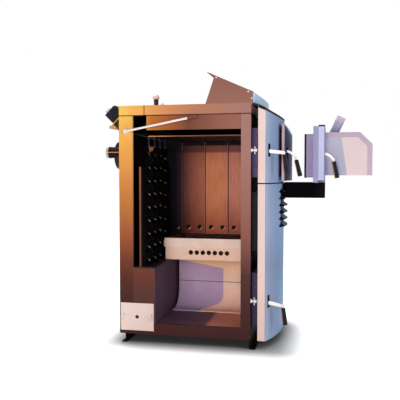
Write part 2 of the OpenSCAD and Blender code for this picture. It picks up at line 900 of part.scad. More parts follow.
// behind its front strip the ceiling plate is shorter, to let the turbulators rise
module ceiling_plate() {
    strip_end = open_y + ceiling_in + ceiling_strip;
    color("#a86a40") {
        block([rear_x + upper_panel_x + ceiling_back, open_y + ceiling_in, ceiling_z],
              [inner_x, strip_end, ceiling_z + ceiling_t]);
        block([rear_x + water_space_x, strip_end - eps, ceiling_z],
              [inner_x, inner_y, ceiling_z + ceiling_t]);
    }
}

module jacket_plate() {
    color("#8a5030")
        block([rear_x + jacket_x, open_y + jacket_in, duct_z],
              [jacket_end, inner_y, base_z + jacket_top]);
}

module ash_duct() {
    color("#5f3426")
        block([rear_x + duct_x, open_y + duct_in, floor_z], [duct_end, inner_y, duct_z]);
}

// clean-out cover with a peep hole, two studs and two wing nuts
module cleanout_cover() {
    low = base_z + cleanout_z;
    x = rear_x + cleanout_x;
    mid = [x + cleanout_l / 2, 0, low + cleanout_h / 2];
    face = open_y - cleanout_t;
    color("#e2c4ba") difference() {
        block([x, face, low], [x + cleanout_l, open_y, low + cleanout_h]);
        along_y([mid[0], face - eps, mid[2]], peep_d / 2, cleanout_t + 2 * eps);
    }
    color("#f2ebe8") for (side = [-1, 1]) {
        wing_x = mid[0] + side * wing_pitch / 2;
        along_y([mid[0] + side * stud_pitch / 2, face - stud_h, mid[2]], stud_d / 2, stud_h);
        along_y([wing_x, face - wing_hub_h, mid[2]], wing_hub_d / 2, wing_hub_h);
        translate([wing_x, face - wing_hub_h, mid[2]]) rotate([0, wing_turn, 0])
            translate([-wing_t / 2, -wing_over, -wing_span / 2]) cube([wing_t, wing_w, wing_span]);
    }
}

// lining plates of the loading chamber with a row of air holes
module lining() {
    seams = [for (k = [0:2]) rear_x + liner_seam + k * liner_w];
    starts = concat([jacket_end], [for (x = seams) x + liner_gap / 2]);
    ends = concat([for (x = seams) x - liner_gap / 2], [inner_x]);
    color("#8a5240") difference() {
        for (k = [0:3])
            block([starts[k], liner_y, hearth_z], [ends[k], inner_y, ceiling_z]);
        for (k = [0:air_holes - 1])
            along_y([rear_x + air_x + k * air_pitch, liner_y - eps, hearth_z + air_up],
                    air_d / 2, liner_t + 2 * eps);
    }
}

// half of the nozzle block, cut through its middle
module nozzle_block() {
    low = duct_z;
    rim_z = hearth_z - rim_h;
    x0 = rear_x + rim_x;
    color("#e6cdbf") difference() {
        union() {
            block([x0, ceramic_y, rim_z], [inner_x, liner_y, hearth_z]);
            block([x0 + rim_step, ceramic_y + block_in, low], [inner_x, liner_y, rim_z + eps]);
            block([x0 - lug_l, ceramic_y + lug_in, rim_z],
                  [x0 + eps, ceramic_y + lug_in + lug_w, rim_z + lug_h]);
        }
        for (k = [0:nozzle_holes - 1])
            along_y([rear_x + nozzle_x + k * nozzle_pitch, ceramic_y - eps, hearth_z - nozzle_down],
                    nozzle_d / 2, nozzle_depth);
        block([x0 + hearth_rear, ceramic_y + hearth_side, hearth_z - hearth_depth],
              [inner_x - hearth_front, liner_y - hearth_side, hearth_z + eps]);
        block([x0 + hearth_rear + flame_in, ceramic_y + hearth_side + flame_in, low - eps],
              [inner_x - hearth_front - flame_in, ceramic_y + hearth_side + flame_in + flame_w,
               hearth_z]);
    }
}

// profile of the hollow of the gutter, in Y and Z
module gutter_hollow() {
    back = open_y + gutter_y;
    low = floor_z + gutter_base;
    translate([open_y, low + gutter_r]) square([gutter_y, body_h]);
    translate([open_y, low]) square([gutter_y - gutter_r, body_h]);
    translate([back - gutter_r, low + gutter_r]) circle(r = gutter_r);
}

// one row of gutter bricks between two heights
module gutter(z0, z1) {
    translate([gutter_x, 0, 0]) rotate([90, 0, 90]) linear_extrude(inner_x - gutter_x)
        difference() {
            translate([ceramic_y + gutter_in, z0])
                square([inner_y - ceramic_y - gutter_in, z1 - z0]);
            gutter_hollow();
        }
}

module gutter_upper() {
    color("#dcc0b4") gutter(seam_low + row_gap, duct_z);
}

module gutter_lower() {
    color("#dcc0b4") gutter(floor_z, seam_low);
}

// twisted strips that hang in the gas passage, each from an eye on a rod
module turbulators() {
    color("#1c1716") for (k = [0:turbulator_count - 1]) {
        y = turbulator_y + k * turbulator_pitch;
        over_block = y + strip_w / 2 + strip_side > cut_y;
        strip_low = strip_clear + (over_block ? hearth_z : duct_z);
        strip_h = strip_top - strip_low;
        translate([lift_x, open_y + y, 0]) {
            translate([0, 0, strip_low]) linear_extrude(strip_h, twist = 180 * strip_h / half_turn,
                slices = ceil(strip_h / half_turn * turn_slices), $fn = 4)
                square([strip_w, strip_t], center = true);
            translate([0, 0, strip_top - rod_collar_in]) cylinder(d = rod_d * 2, h = rod_collar_h);
            translate([0, 0, strip_top]) cylinder(d = rod_d, h = eye_z - eye_r - strip_top);
            translate([0, 0, eye_z]) rotate([0, 90, 0])
                rotate_extrude() translate([eye_r + rod_d / 2, 0]) circle(d = rod_d, $fn = 32);
        }
    }
}

// lever, shaft and lifting arms of the cleaning gear
module cleaning_lever() {
    tip = [lever_l, 0, 0];
    color("#f4f0ee") {
        along_y([shaft_at, open_y - lever_out, shaft_z], shaft_d / 2,
                lever_out + last_y - open_y + bearing_off + bearing_w);
        translate([shaft_at, open_y - lever_out, shaft_z]) {
            sphere(d = ball_d);
            rotate([0, -lever_angle, 0]) along_x([0, 0, 0], lever_d / 2, lever_l);
        }
        for (k = [0:turbulator_count - 1])
            translate([shaft_at, open_y + turbulator_y + k * turbulator_pitch, shaft_z])
                rotate([0, arm_angle, 0]) along_x([0, 0, 0], arm_d / 2, arm_reach + arm_over);
    }
    color("#3a1f18") translate([shaft_at, open_y - lever_out, shaft_z])
        rotate([0, -lever_angle, 0]) along_x(tip, lever_grip_d / 2, lever_grip_l);
}

// control box: side outline, from its rear foot over the lid line to its front foot
box_rear = front_x + box_front - box_l - box_front;
box_fore = front_x + box_front;
box_fore_z = top_z + box_front_h;
lid_cut = (box_fore_z + (box_fore - box_rear) * tan(box_slope) - top_z)
    / (1 + tan(box_slope) * tan(box_lean));
box_peak = [box_rear + lid_cut * tan(box_lean), top_z + lid_cut];

module control_housing() {
    color("#a56c60") translate([0, closed_y, 0]) rotate([90, 0, 0]) linear_extrude(body_w)
        polygon([[box_rear, top_z], box_peak, [box_fore, box_fore_z], [box_fore, top_z]]);
}

// the lid lies on the slope and overhangs at the rear
module control_lid() {
    color("#8d5a50") translate([box_fore, open_y, box_fore_z]) rotate([0, box_slope, 0])
        translate([-(box_fore - box_peak[0]) / cos(box_slope) - lid_over, 0, 0])
            cube([(box_fore - box_peak[0]) / cos(box_slope) + lid_over, body_w, lid_t]);
}

module control_fascia() {
    color("#9dbdd2") below(box_fore, box_fore_z, box_slope)
        translate([0, 0, top_z + fascia_gap]) linear_extrude(box_front_h)
            bow_plan(box_fore, box_fore + fascia_t, body_w, fascia_bow - fascia_t);
}

module top_fittings() {
    color("#1d1a1c") translate([rear_x + vent_x, mid_y, top_z]) cylinder(d = vent_d, h = vent_h);
    color("#e9dcdc") translate([rear_x + vent_x, mid_y, top_z + vent_h])
        cylinder(d = vent_cap_d, h = vent_cap_h);
    color("#d9c9c9") translate([rear_x + plug_knob_x, open_y + plug_knob_y, top_z])
        cylinder(d = plug_knob_d, h = plug_knob_h);
}

// smoke box with a slanted top and a hood for the fan plate, both sloping one to one
module smoke_box() {
    top = top_z - smoke_down;
    low = top - smoke_h;
    rise = fan_z - fan_x;
    edge = rear_x - smoke_d;
    color("#2a2224") {
        translate([0, mid_y + smoke_w / 2, 0]) rotate([90, 0, 0]) linear_extrude(smoke_w)
            polygon([[rear_x, low], [edge, low], [edge, edge + rise],
                     [top - rise, top], [rear_x, top]]);
        translate([0, mid_y + hood_w / 2, 0]) rotate([90, 0, 0]) linear_extrude(hood_w)
            polygon([[edge + eps, edge + rise + eps], [edge + eps, edge + rise - hood_h],
                     [edge - hood_out, edge - hood_out + rise]]);
    }
}

module flue_spigot() {
    color("#2a2224") difference() {
        along_x([rear_x - smoke_d - flue_l, mid_y, top_z - flue_down], flue_d / 2, flue_l);
        along_x([rear_x - smoke_d - flue_l - eps, mid_y, top_z - flue_down],
                flue_d / 2 - flue_wall, flue_l - end_wall + eps);
    }
}

// flow pipe high on the rear and return pipe low on the rear, each with a thread collar
module water_pipes() {
    for (at = [[flow_y, flow_z], [body_w / 2, return_z]]) {
        color("#2a2224") difference() {
            union() {
                along_x([rear_x - pipe_l, open_y + at[0], base_z + at[1]], pipe_d / 2 - 1, pipe_l);
                along_x([rear_x - pipe_l, open_y + at[0], base_z + at[1]], pipe_d / 2, collar_l);
            }
            along_x([rear_x - pipe_l - eps, open_y + at[0], base_z + at[1]],
                    pipe_d / 2 - pipe_wall, pipe_l - end_wall + eps);
        }
    }
}

// the fan stands on a plate that leans back by 45 degrees
module on_fan(out, along) translate([fan_x, mid_y, fan_z]) rotate([0, -fan_lean, 0])
    translate([along, 0, out]) children();

module fan_plate() {
    color("#d9a03c") on_fan(fan_plate_t / 2, 0)
        cube([fan_plate_l, fan_plate_w, fan_plate_t], center = true);
}

module fan_motor() {
    motor_z = fan_plate_t + fan_neck;
    cap_z = motor_z + motor_l;
    color("#141214") {
        on_fan(fan_plate_t, 0) cylinder(d = neck_d, h = fan_neck);
        on_fan(motor_z + motor_l / 2, 0) cube([motor_w, motor_w, motor_l], center = true);
    }
    color("#b9c8d8") on_fan(cap_z + motor_cap_t / 2, 0)
        cube([motor_cap_w, motor_cap_w, motor_cap_t], center = true);
    color("#ece6e2") on_fan(cap_z + motor_cap_t + terminal_h / 2, -terminal_shift)
        cube([terminal_w, terminal_w, terminal_h], center = true);
}

// rectangular rope seals between the front wall and the doors
module door_seals() {
    out = seal_in + seal_w;
    color("#1a1718") for (way = [lower_way, upper_way]) difference() {
        block([front_x, way[0] - out, way[1] - out],
              [front_x + seal_t, way[2] + out, way[3] + out]);
        block([front_x - eps, way[0] - seal_in, way[1] - seal_in],
              [front_x + seal_t + eps, way[2] + seal_in, way[3] + seal_in]);
    }
}

// studs that the door latches catch on, each with a cross pin
module catch_studs() {
    color("#efe4e2") for (z = [lower_latch, upper_latch]) {
        along_x([front_x, open_y + catch_in, z], catch_d / 2, door_gap - catch_gap);
        translate([front_x + cross_out, open_y + catch_in, z - cross_l / 2])
            cylinder(d = cross_d, h = cross_l);
    }
}

// hinge pins on brackets at the closed side of the front wall
module hinge_pins() {
    color("#241c1c") for (z = hinge_heights) {
        block([front_x, hinge_y - bracket_w / 2, z - bracket_play - bracket_t],
              [hinge_at + bracket_w / 2, hinge_y + bracket_w / 2, z - bracket_play]);
        translate([hinge_at, hinge_y, z - pin_over])
            cylinder(r = pin_r, h = knuckle_h + 2 * pin_over);
    }
}

module air_box() {
    color("#2a2a38")
        block([front_x + air_box_gap, open_y + air_box_in, base_z + air_box_z],
              [front_x + air_box_d, closed_y - air_box_in, base_z + air_box_z + air_box_h]);
}

// a door slab with two hinge knuckles and the pivot of its latch lever
module door(z0, z1, latch_z, knuckles) {
    head_y = latch_at - bar_w / 2 - pin_head_t - pin_head_gap;
    bracket_y = latch_at + bar_w / 2 + lever_gap;
    difference() {
        union() {
            block([door_x, open_y + door_inset, z0], [door_face, door_far, z1]);
            for (z = knuckles) {
                translate([hinge_at, hinge_y, z]) cylinder(r = knuckle_r, h = knuckle_h);
                block([hinge_at - knuckle_r, door_far - eps, z],
                      [door_face, hinge_y, z + knuckle_h]);
            }
            block([door_face - eps, bracket_y, latch_z - lever_bracket_h / 2],
                  [pivot_x + lever_bracket_over, bracket_y + lever_bracket_t,
                   latch_z + lever_bracket_h / 2]);
            along_y([pivot_x, head_y, latch_z], latch_pin_r, bracket_y + eps - head_y);
            along_y([pivot_x, head_y, latch_z], latch_pin_r + pin_head, pin_head_t);
        }
        for (z = knuckles)
            translate([hinge_at, hinge_y, z - eps])
                cylinder(r = pin_r + pin_fit, h = knuckle_h + 2 * eps);
    }
}

module upper_door() {
    color("#34304a") door(upper_z, upper_top, upper_latch, [hinge_heights[2], hinge_heights[3]]);
}

module lower_door() {
    color("#34304a") door(lower_z, lower_top, lower_latch, [hinge_heights[0], hinge_heights[1]]);
}

// the shell of a bow-fronted cover with stiffening shelves behind it
module cover_shell(z0, z1, shelves, shelf_back) {
    difference() {
        translate([0, 0, z0]) linear_extrude(z1 - z0) bow_plan(cover_x, cover_edge, body_w, bow);
        translate([0, 0, z0 - eps]) linear_extrude(z1 - z0 + 2 * eps)
            bow_plan(cover_x - eps, cover_edge, body_w, bow, sheet);
    }
    for (k = [0:len(shelves) - 1]) intersection() {
        translate([0, 0, shelves[k]]) linear_extrude(stiffener_t)
            bow_plan(door_face, cover_edge, body_w, bow, sheet / 2);
        block([shelf_back[k], open_y + stiffener_side, z0],
              [cover_tip, closed_y - stiffener_side, z1]);
    }
}

// room in a cover for the latch lever and, at the hinge side, for the pins
module cover_cuts(z0, z1, latch_z) {
    block([cover_edge - sheet - eps, latch_at - bar_w / 2 - slot_side, latch_z - slot_h / 2],
          [cover_tip, latch_at + bar_w / 2 + slot_side, latch_z + slot_h / 2]);
    block([cover_x - eps, closed_y - sheet - eps, z0 - eps],
          [hinge_at + hinge_room, closed_y + eps, z1 + eps]);
}

module upper_cover() {
    low = seam + seam_gap / 2;
    room = plug_in - plug_room;
    color("#a9bccb") difference() {
        union() {
            below(cover_x, cover_top, cover_slope)
                cover_shell(low, cover_top,
                            [upper_z + upper_shelf_up, upper_top - upper_shelf_down],
                            [door_face, door_face]);
            difference() {
                below(cover_x, cover_top, cover_slope)
                    translate([0, 0, upper_top]) linear_extrude(cover_top - upper_top)
                        bow_plan(cover_x, cover_edge, body_w, bow, sheet / 2);
                below(cover_x, cover_top - sheet, cover_slope)
                    translate([0, 0, upper_top - eps]) linear_extrude(cover_top)
                        bow_plan(cover_x - eps, cover_tip, body_w + 2 * eps, bow);
            }
        }
        cover_cuts(low, cover_top, upper_latch);
        block([door_face - eps, mid_y - blind_w / 2 + room, blind_low + room],
              [cover_tip + eps, mid_y + blind_w / 2 - room, blind_low + blind_h - room]);
    }
}

// what a profile sweeps around the axis of the bow, between two angles
module bow_sweep(from, to) rotate([0, 0, from])
    rotate_extrude(angle = to - from, $fn = fine) children();

// a louvre hood is a slice of a cone, hollowed from below between its two cheeks
module louvre_hood(half_angle, cheek) {
    r_in = bow_r - sheet / 2;
    r_out = bow_r + louvre_out;
    z_in = louvre_slot / 2 + hood_t;
    z_low = -louvre_slot / 2 - eps;
    fall = (z_in + hood_drop) / (r_out - r_in);
    difference() {
        bow_sweep(-half_angle, half_angle)
            polygon([[r_in, z_in], [r_out, -hood_drop], [r_out, -hood_drop - hood_t - eps],
                     [r_in, z_low]]);
        bow_sweep(cheek - half_angle, half_angle - cheek)
            polygon([[r_in - eps, z_in - hood_t + fall * eps],
                     [r_out + eps, -hood_drop - hood_t - fall * eps],
                     [r_out + eps, z_low - hood_drop], [r_in - eps, z_low - hood_drop]]);
    }
}

// places a louvre on the bow and leaves room for the shelf before it
module louvre_place(k) {
    z = seam - louvre_down - k * louvre_pitch;
    behind_shelf = z + louvre_slot > shelf_z - shelf_h - shelf_room;
    difference() {
        translate([cover_tip - bow_r, mid_y, z]) children();
        if (behind_shelf)
            block([cover_edge, mid_y - shelf_w / 2 - shelf_room, z - louvre_pitch],
                  [cover_tip + 2 * louvre_out, mid_y + shelf_w / 2 + shelf_room, z + louvre_pitch]);
    }
}

module lower_cover() {
    top = seam - seam_gap / 2;
    half_angle = asin(louvre_w / 2 / bow_r);
    cheek = cheek_t / bow_r * 180 / PI;
    slot_angle = half_angle - 2 * cheek;
    color("#98acc2") {
        difference() {
            cover_shell(base_z, top,
                        [lower_z + stiffener_in, lower_top - stiffener_in,
                         lower_top + stiffener_up, top - stiffener_down],
                        [door_face, door_face, door_face + stiffener_off,
                         door_face + stiffener_off]);
            cover_cuts(base_z, top, lower_latch);
            for (k = [0:louvre_count - 1]) louvre_place(k)
                bow_sweep(-slot_angle, slot_angle)
                    translate([bow_r - sheet - eps, -louvre_slot / 2])
                        square([sheet + 2 * eps, louvre_slot]);
        }
        for (k = [0:louvre_count - 1]) louvre_place(k) louvre_hood(half_angle, cheek);
    }
}

// the boss and the grip at the end of a latch lever
module grip_end(tilt) {
    r = grip_d / 2;
    along_y([0, -bar_w / 2 - boss_side, 0], bar_h / 2 + boss_over, bar_w + 2 * boss_side);
    rotate([0, 180 - tilt, 0]) {
        cylinder(d = r, h = grip_start + eps);
        rotate_extrude()
            polygon([[0, grip_start], [r, grip_start], [r, grip_l - grip_chamfer],
                     [r - grip_chamfer, grip_l], [0, grip_l]]);
    }
}

module straight_lever(z, reach, droop, tilt) {
    translate([pivot_x, latch_at, z]) difference() {
        union() {
            along_y([0, -bar_w / 2, 0], hub_r, bar_w);
            rotate([0, droop, 0]) translate([0, -bar_w / 2, -bar_h / 2]) cube([reach, bar_w, bar_h]);
            rotate([0, droop, 0]) translate([reach, 0, 0]) rotate([0, -droop, 0]) grip_end(tilt);
        }
        along_y([0, -bar_w / 2 - eps, 0], latch_pin_r + pin_fit, bar_w + 2 * eps);
    }
}

// an arched bar that starts level and ends at the grip
module arched_bar(r, sweep, tilt) {
    translate([0, 0, -r]) rotate([90, 0, 0]) rotate([0, 0, 90 - sweep])
        rotate_extrude(angle = sweep) translate([r - bar_h / 2, -bar_w / 2]) square([bar_h, bar_w]);
    translate([r * sin(sweep), 0, r * cos(sweep) - r]) grip_end(tilt);
}

module upper_lever() {
    color("#e8e2de") straight_lever(upper_latch, upper_reach, upper_droop, upper_tilt);
}

module lower_lever() {
    color("#e8e2de") straight_lever(lower_latch, lower_reach, lower_droop, lower_tilt);
}

module blind_plug() {
    color("#151214") block([door_face, mid_y - blind_w / 2 + plug_in, blind_low + plug_in],
        [blind_at, mid_y + blind_w / 2 - plug_in, blind_low + blind_h - plug_in]);
}

module blind_plate() {
    color("#9d7680") block([blind_at, mid_y - blind_w / 2, blind_low],
        [blind_face, mid_y + blind_w / 2, blind_low + blind_h]);
}

module blind_cover() {
    color("#5c6b80") difference() {
        below(blind_face, blind_low + blind_h, blind_slope)
            translate([0, 0, blind_low + blind_cover_up]) linear_extrude(blind_h - blind_cover_up)
                bow_plan(blind_face, blind_face + blind_edge, blind_w, blind_bow - blind_edge);
        block([blind_face - eps, front_latch_y - bar_w / 2 - slot_side, front_latch_z - slot_h / 2],
              [blind_face + blind_bow + eps, front_latch_y + bar_w / 2 + slot_side,
               front_latch_z + slot_h / 2]);
    }
}

// the lever of the blind door is held on the plate and reaches out through the slot
module blind_lever() {
    color("#e8e2de") translate([blind_face, front_latch_y, upper_latch])
        arched_bar(blind_arch_r, blind_arch, blind_tilt);
}

module shelf() {
    color("#101012") {
        translate([0, 0, shelf_z - shelf_h]) linear_extrude(shelf_h)
            union() {
                end = shelf_x + shelf_l;
                translate([shelf_x + shelf_mount, mid_y - shelf_w / 2])
                    square([shelf_l - shelf_mount - shelf_r, shelf_w]);
                translate([shelf_x + shelf_mount, mid_y - shelf_w / 2 + shelf_r])
                    square([shelf_l - shelf_mount, shelf_w - 2 * shelf_r]);
                for (side = [-1, 1])
                    translate([end - shelf_r, mid_y + side * (shelf_w / 2 - shelf_r)])
                        circle(r = shelf_r);
            }
        block([shelf_x, mid_y - shelf_w / 2, shelf_z - shelf_h],
              [shelf_x + shelf_mount + eps, mid_y + shelf_w / 2, seam - seam_gap]);
    }
}

module burner_plug() {
    low = shelf_z + burner_plug_up;
    color("#a58fae") block([plug_at, mid_y - blind_w / 2 + plug_in, low],
        [burner_plate_x, mid_y + blind_w / 2 - plug_in, low + burner_plug_h]);
}

module burner_door() {
    color("#a79bc0") block([burner_plate_x, mid_y - blind_w / 2, shelf_z],
        [burner_cover_x, mid_y + blind_w / 2, shelf_z + burner_door_h]);
}

// the cover of the burner door has a pocket with the pivot pin of its lever
module burner_cover() {
    low = shelf_z + burner_cover_up;
    pocket = bar_w / 2 + slot_side;
    color("#c3b9dc") {
        difference() {
            block([burner_cover_x, mid_y - blind_w / 2, low],
                  [burner_at, mid_y + blind_w / 2, low + burner_door_h]);
            block([burner_at - pocket_d, front_latch_y - pocket, front_latch_z - slot_h / 2],
                  [burner_at + eps, front_latch_y + pocket, front_latch_z + slot_h / 2]);
        }
        along_y([burner_pin_x, front_latch_y - pocket - eps, front_latch_z], latch_pin_r,
                2 * (pocket + eps));
    }
}

module burner_lever() {
    color("#e8e2de") translate([burner_pin_x, front_latch_y, front_latch_z]) difference() {
        union() {
            along_y([0, -bar_w / 2 - hub_side, 0], burner_hub_r, bar_w + 2 * hub_side);
            arched_bar(burner_arch_r, burner_arch, burner_tilt);
        }
        along_y([0, -bar_w / 2 - eps, 0], latch_pin_r + pin_fit, bar_w + 2 * eps);
    }
}

// side outline of the burner casing, drawn in at its top, chamfer and front
module casing_outline(inset) {
    end = burner_at + burner_l - inset;
    top = burner_top - inset;
    cut = burner_chamfer - inset * (1 - tan(22.5));
    polygon([[burner_at, burner_z], [burner_at, top], [end - cut, top], [end, top - cut],
             [end, burner_z]]);
}

// burner casing: a chamfered box whose sides have a bevelled border
module burner_casing() {
    color("#d9c6cc") hull() for (w = [[burner_w - 2 * border_d, 0], [burner_w, border]])
        translate([0, mid_y + w[0] / 2, 0]) rotate([90, 0, 0]) linear_extrude(w[0])
            casing_outline(w[1]);
}

// the feed tube leans forward on top of the burner casing
module feed_tube() {
    color("#c9b4ba") intersection() {
        translate([burner_at + feed_x, mid_y, burner_top]) rotate([0, feed_tilt, 0]) difference() {
            translate([0, 0, -feed_d]) cylinder(d = feed_d, h = feed_l + feed_d);
            translate([0, 0, -feed_d - eps])
                cylinder(d = feed_d - 2 * feed_wall, h = feed_l + feed_d + 2 * eps);
        }
        block([burner_at, mid_y - feed_d, burner_top],
              [burner_at + burner_l, mid_y + feed_d, burner_top + 2 * feed_l]);
    }
}

runners();
floor();
sill();
rear_post();
front_post();
closed_side();
rear_wall();
front_rails();
front_stiles();
rear_top_cover();
front_top_cover();
upper_panel();
water_space();
ceiling_plate();
jacket_plate();
ash_duct();
cleanout_cover();
lining();
nozzle_block();
gutter_upper();
gutter_lower();
turbulators();
cleaning_lever();
control_housing();
control_lid();
control_fascia();
top_fittings();
smoke_box();
flue_spigot();
water_pipes();
fan_plate();
fan_motor();
door_seals();
catch_studs();
hinge_pins();
air_box();
upper_door();
upper_cover();
upper_lever();
blind_plug();
blind_plate();
blind_cover();
blind_lever();
lower_door();
lower_cover();
lower_lever();
shelf();
burner_plug();
burner_door();
burner_cover();
burner_lever();
burner_casing();
feed_tube();
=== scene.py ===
from math import atan2, ceil, cos, hypot, pi, radians, sin, sqrt, tan
import bmesh
import bpy
from mathutils import Matrix, Vector


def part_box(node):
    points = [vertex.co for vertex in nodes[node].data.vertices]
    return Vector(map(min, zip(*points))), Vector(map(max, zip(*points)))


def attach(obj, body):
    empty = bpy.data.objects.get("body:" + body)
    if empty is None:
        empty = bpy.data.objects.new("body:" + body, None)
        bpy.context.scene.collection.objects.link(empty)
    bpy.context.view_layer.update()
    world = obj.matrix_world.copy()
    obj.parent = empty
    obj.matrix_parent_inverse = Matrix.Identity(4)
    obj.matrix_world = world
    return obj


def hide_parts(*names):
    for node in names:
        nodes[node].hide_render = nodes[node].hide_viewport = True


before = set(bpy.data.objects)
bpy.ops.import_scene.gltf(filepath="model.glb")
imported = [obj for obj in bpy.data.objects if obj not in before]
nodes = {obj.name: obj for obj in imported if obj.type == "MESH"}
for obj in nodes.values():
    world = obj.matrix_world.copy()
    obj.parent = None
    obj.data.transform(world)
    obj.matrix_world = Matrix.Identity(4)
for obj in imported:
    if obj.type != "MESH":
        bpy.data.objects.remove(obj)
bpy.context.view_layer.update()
mm = 0.001

# main planes of the boiler, read from its frame
rearX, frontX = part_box("floor")[0].x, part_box("floor")[1].x
openY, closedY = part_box("sill")[0].y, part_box("closed_side")[1].y
baseZ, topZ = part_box("sill")[0].z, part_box("rear_top_cover")[1].z
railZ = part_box("rear_top_cover")[0].z
corner = Vector((rearX, openY, baseZ))  # pieces are measured from here, in mm
width, height, length = (closedY - openY) / mm, (topZ - baseZ) / mm, (frontX - rearX) / mm
bowRise = 61  # of the covers, in the middle
bowRadius = (width ** 2 / 4 + bowRise ** 2) / (2 * bowRise)
print("frame loaded", len(nodes), "nodes")


def corners(node):  # lowest and highest corner of a CAD node, in mm from the casing's corner
    return [(value - corner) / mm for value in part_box(node)]


def colour(code):  # "#rrggbb" as linear colour
    parts = [int(code[k:k + 2], 16) / 255 for k in (1, 3, 5)]
    return [((c + 0.055) / 1.055) ** 2.4 if c > 0.04045 else c / 12.92 for c in parts] + [1.0]


class Wire:  # an output socket that can be used in sums
    def __init__(self, owner, socket):
        self.owner, self.socket = owner, socket

    def math(self, operation, *values):
        return self.owner.add("ShaderNodeMath", {"operation": operation}, dict(enumerate(values)))

    def atLeast(self, low):
        return self.math("MAXIMUM", self, low)

    def clipped(self):  # kept from 0 to 1
        return self.math("MINIMUM", self.atLeast(0.0), 1.0)

    def near(self, value, reach):  # 1 within reach of the value
        return self.math("COMPARE", self, value, reach)

    def repeated(self, pitch):  # starts again at every pitch, and is 0 in the middle
        return self.math("WRAP", self, -pitch / 2, pitch / 2)

    def mirrored(self, pitch):  # runs up to half the pitch and back
        return self.math("PINGPONG", self, pitch / 2)

    def __abs__(self):
        return self.math("ABSOLUTE", self)

    def __add__(self, other):
        return self.math("ADD", self, other)

    def __radd__(self, other):
        return self.math("ADD", other, self)

    def __sub__(self, other):
        return self.math("SUBTRACT", self, other)

    def __rsub__(self, other):
        return self.math("SUBTRACT", other, self)

    def __mul__(self, other):
        return self.math("MULTIPLY", self, other)

    def __rmul__(self, other):
        return self.math("MULTIPLY", other, self)

    def __truediv__(self, other):
        return self.math("DIVIDE", self, other)

    def __rtruediv__(self, other):
        return self.math("DIVIDE", other, self)

    def __pow__(self, other):
        return self.math("POWER", self, other)

    def __rpow__(self, other):
        return self.math("POWER", other, self)

    def __gt__(self, other):
        return self.math("GREATER_THAN", self, other)

    def __lt__(self, other):
        return self.math("LESS_THAN", self, other)


class NodeSet:  # the nodes of a material or of the world
    def __init__(self, owner):
        owner.use_nodes = True
        self.tree = owner.node_tree
        self.tree.nodes.clear()

    def add(self, kind, settings, sockets, output=0):
        node = self.tree.nodes.new(kind)
        for name, value in settings.items():
            if name == "stops":
                while len(node.color_ramp.elements) < len(value):
                    node.color_ramp.elements.new(1)
                for element, (at, code) in zip(node.color_ramp.elements, value):
                    element.position, element.color = at, colour(code)
            else:
                setattr(node, name, value)
        self.fill(node, sockets)
        return Wire(self, node.outputs[output]) if node.outputs else None

    def fill(self, node, sockets):  # links wires, and sets colours and numbers
        for name, value in sockets.items():
            if isinstance(value, Wire):
                self.tree.links.new(value.socket, node.inputs[name])
            elif isinstance(value, str):
                node.inputs[name].default_value = colour(value)
            else:
                node.inputs[name].default_value = value

    def background(self):  # 1 for the rays that look at the studio rather than light it
        rays = ("Is Camera Ray", "Is Glossy Ray", "Is Transmission Ray")
        return sum(self.add("ShaderNodeLightPath", {}, {}, name) for name in rays)


class Finish(NodeSet):  # a procedural material round one principled shader
    def __init__(self, name, **fixed):
        self.material = bpy.data.materials.new(name)
        super().__init__(self.material)
        self.shader = self.add("ShaderNodeBsdfPrincipled", {}, {})
        self.add("ShaderNodeOutputMaterial", {}, {"Surface": self.shader})
        self.set(**fixed)
        self.place = self.add("ShaderNodeTexCoord", {}, {}, "Object")
        self.x, self.y, self.z = self.split(self.place)

    def set(self, **sockets):
        named = {name.replace("_", " "): value for name, value in sockets.items()}
        self.fill(self.shader.socket.node, named)
        return self.material

    def split(self, vector):
        return [self.add("ShaderNodeSeparateXYZ", {}, {0: vector}, k) for k in range(3)]

    def facing(self):  # the surface's own direction
        return self.split(self.add("ShaderNodeTexCoord", {}, {}, "Normal"))

    def share(self, node, axis="x"):  # 0 to 1 across a CAD node
        low, high = (getattr(end, axis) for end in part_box(node))
        return (getattr(self, axis) - low) / (high - low)

    def vector(self, operation, sockets, output=0):
        return self.add("ShaderNodeVectorMath", {"operation": operation}, sockets, output)

    def noise(self, scale, detail=4, stretch=(1, 1, 1), roughness=0.55):
        moved = self.vector("MULTIPLY", {0: self.place, 1: stretch})
        sockets = {"Vector": moved, "Scale": scale, "Detail": detail, "Roughness": roughness}
        return self.add("ShaderNodeTexNoise", {}, sockets)

    def cells(self, scale):
        return self.add("ShaderNodeTexVoronoi", {}, {"Vector": self.place, "Scale": scale})

    def step(self, value, low, high):
        return self.add("ShaderNodeMapRange", {"interpolation_type": "SMOOTHSTEP"},
                        {0: value, 1: low, 2: high, 3: 0.0, 4: 1.0})

    def ramp(self, value, *stops):
        return self.add("ShaderNodeValToRGB", {"stops": stops}, {0: value})

    def mix(self, amount, first, second, how="MIX"):
        settings = {"data_type": "RGBA", "blend_type": how}
        return self.add("ShaderNodeMix", settings, {0: amount, 6: first, 7: second}, 2)

    def darker(self, tone, code):
        return self.mix(1.0, tone, code, "MULTIPLY")

    def edges(self, radius):  # 1 along outer and inner edges, 0 on the flats
        rounded = self.add("ShaderNodeBevel", {"samples": 4}, {"Radius": radius * mm})
        flat = self.add("ShaderNodeNewGeometry", {}, {}, "True Normal")
        along = self.vector("DOT_PRODUCT", {0: rounded, 1: flat}, 1)
        return rounded, self.step(1 - along, 0.01, 0.12)

    def bump(self, height, depth, normal):
        sockets = {"Height": height, "Distance": depth * mm, "Normal": normal}
        return self.add("ShaderNodeBump", {}, sockets)


# scales of the noise in each kind of finish, edges and depths in mm
paint = {"edge": 1.2, "cloud": 2.6, "grime": 0.1, "dust": "#9a8f8c", "rub": 70, "scuff": 26,
         "sheen": 150, "peel": (380, 60), "depth": 0.05}


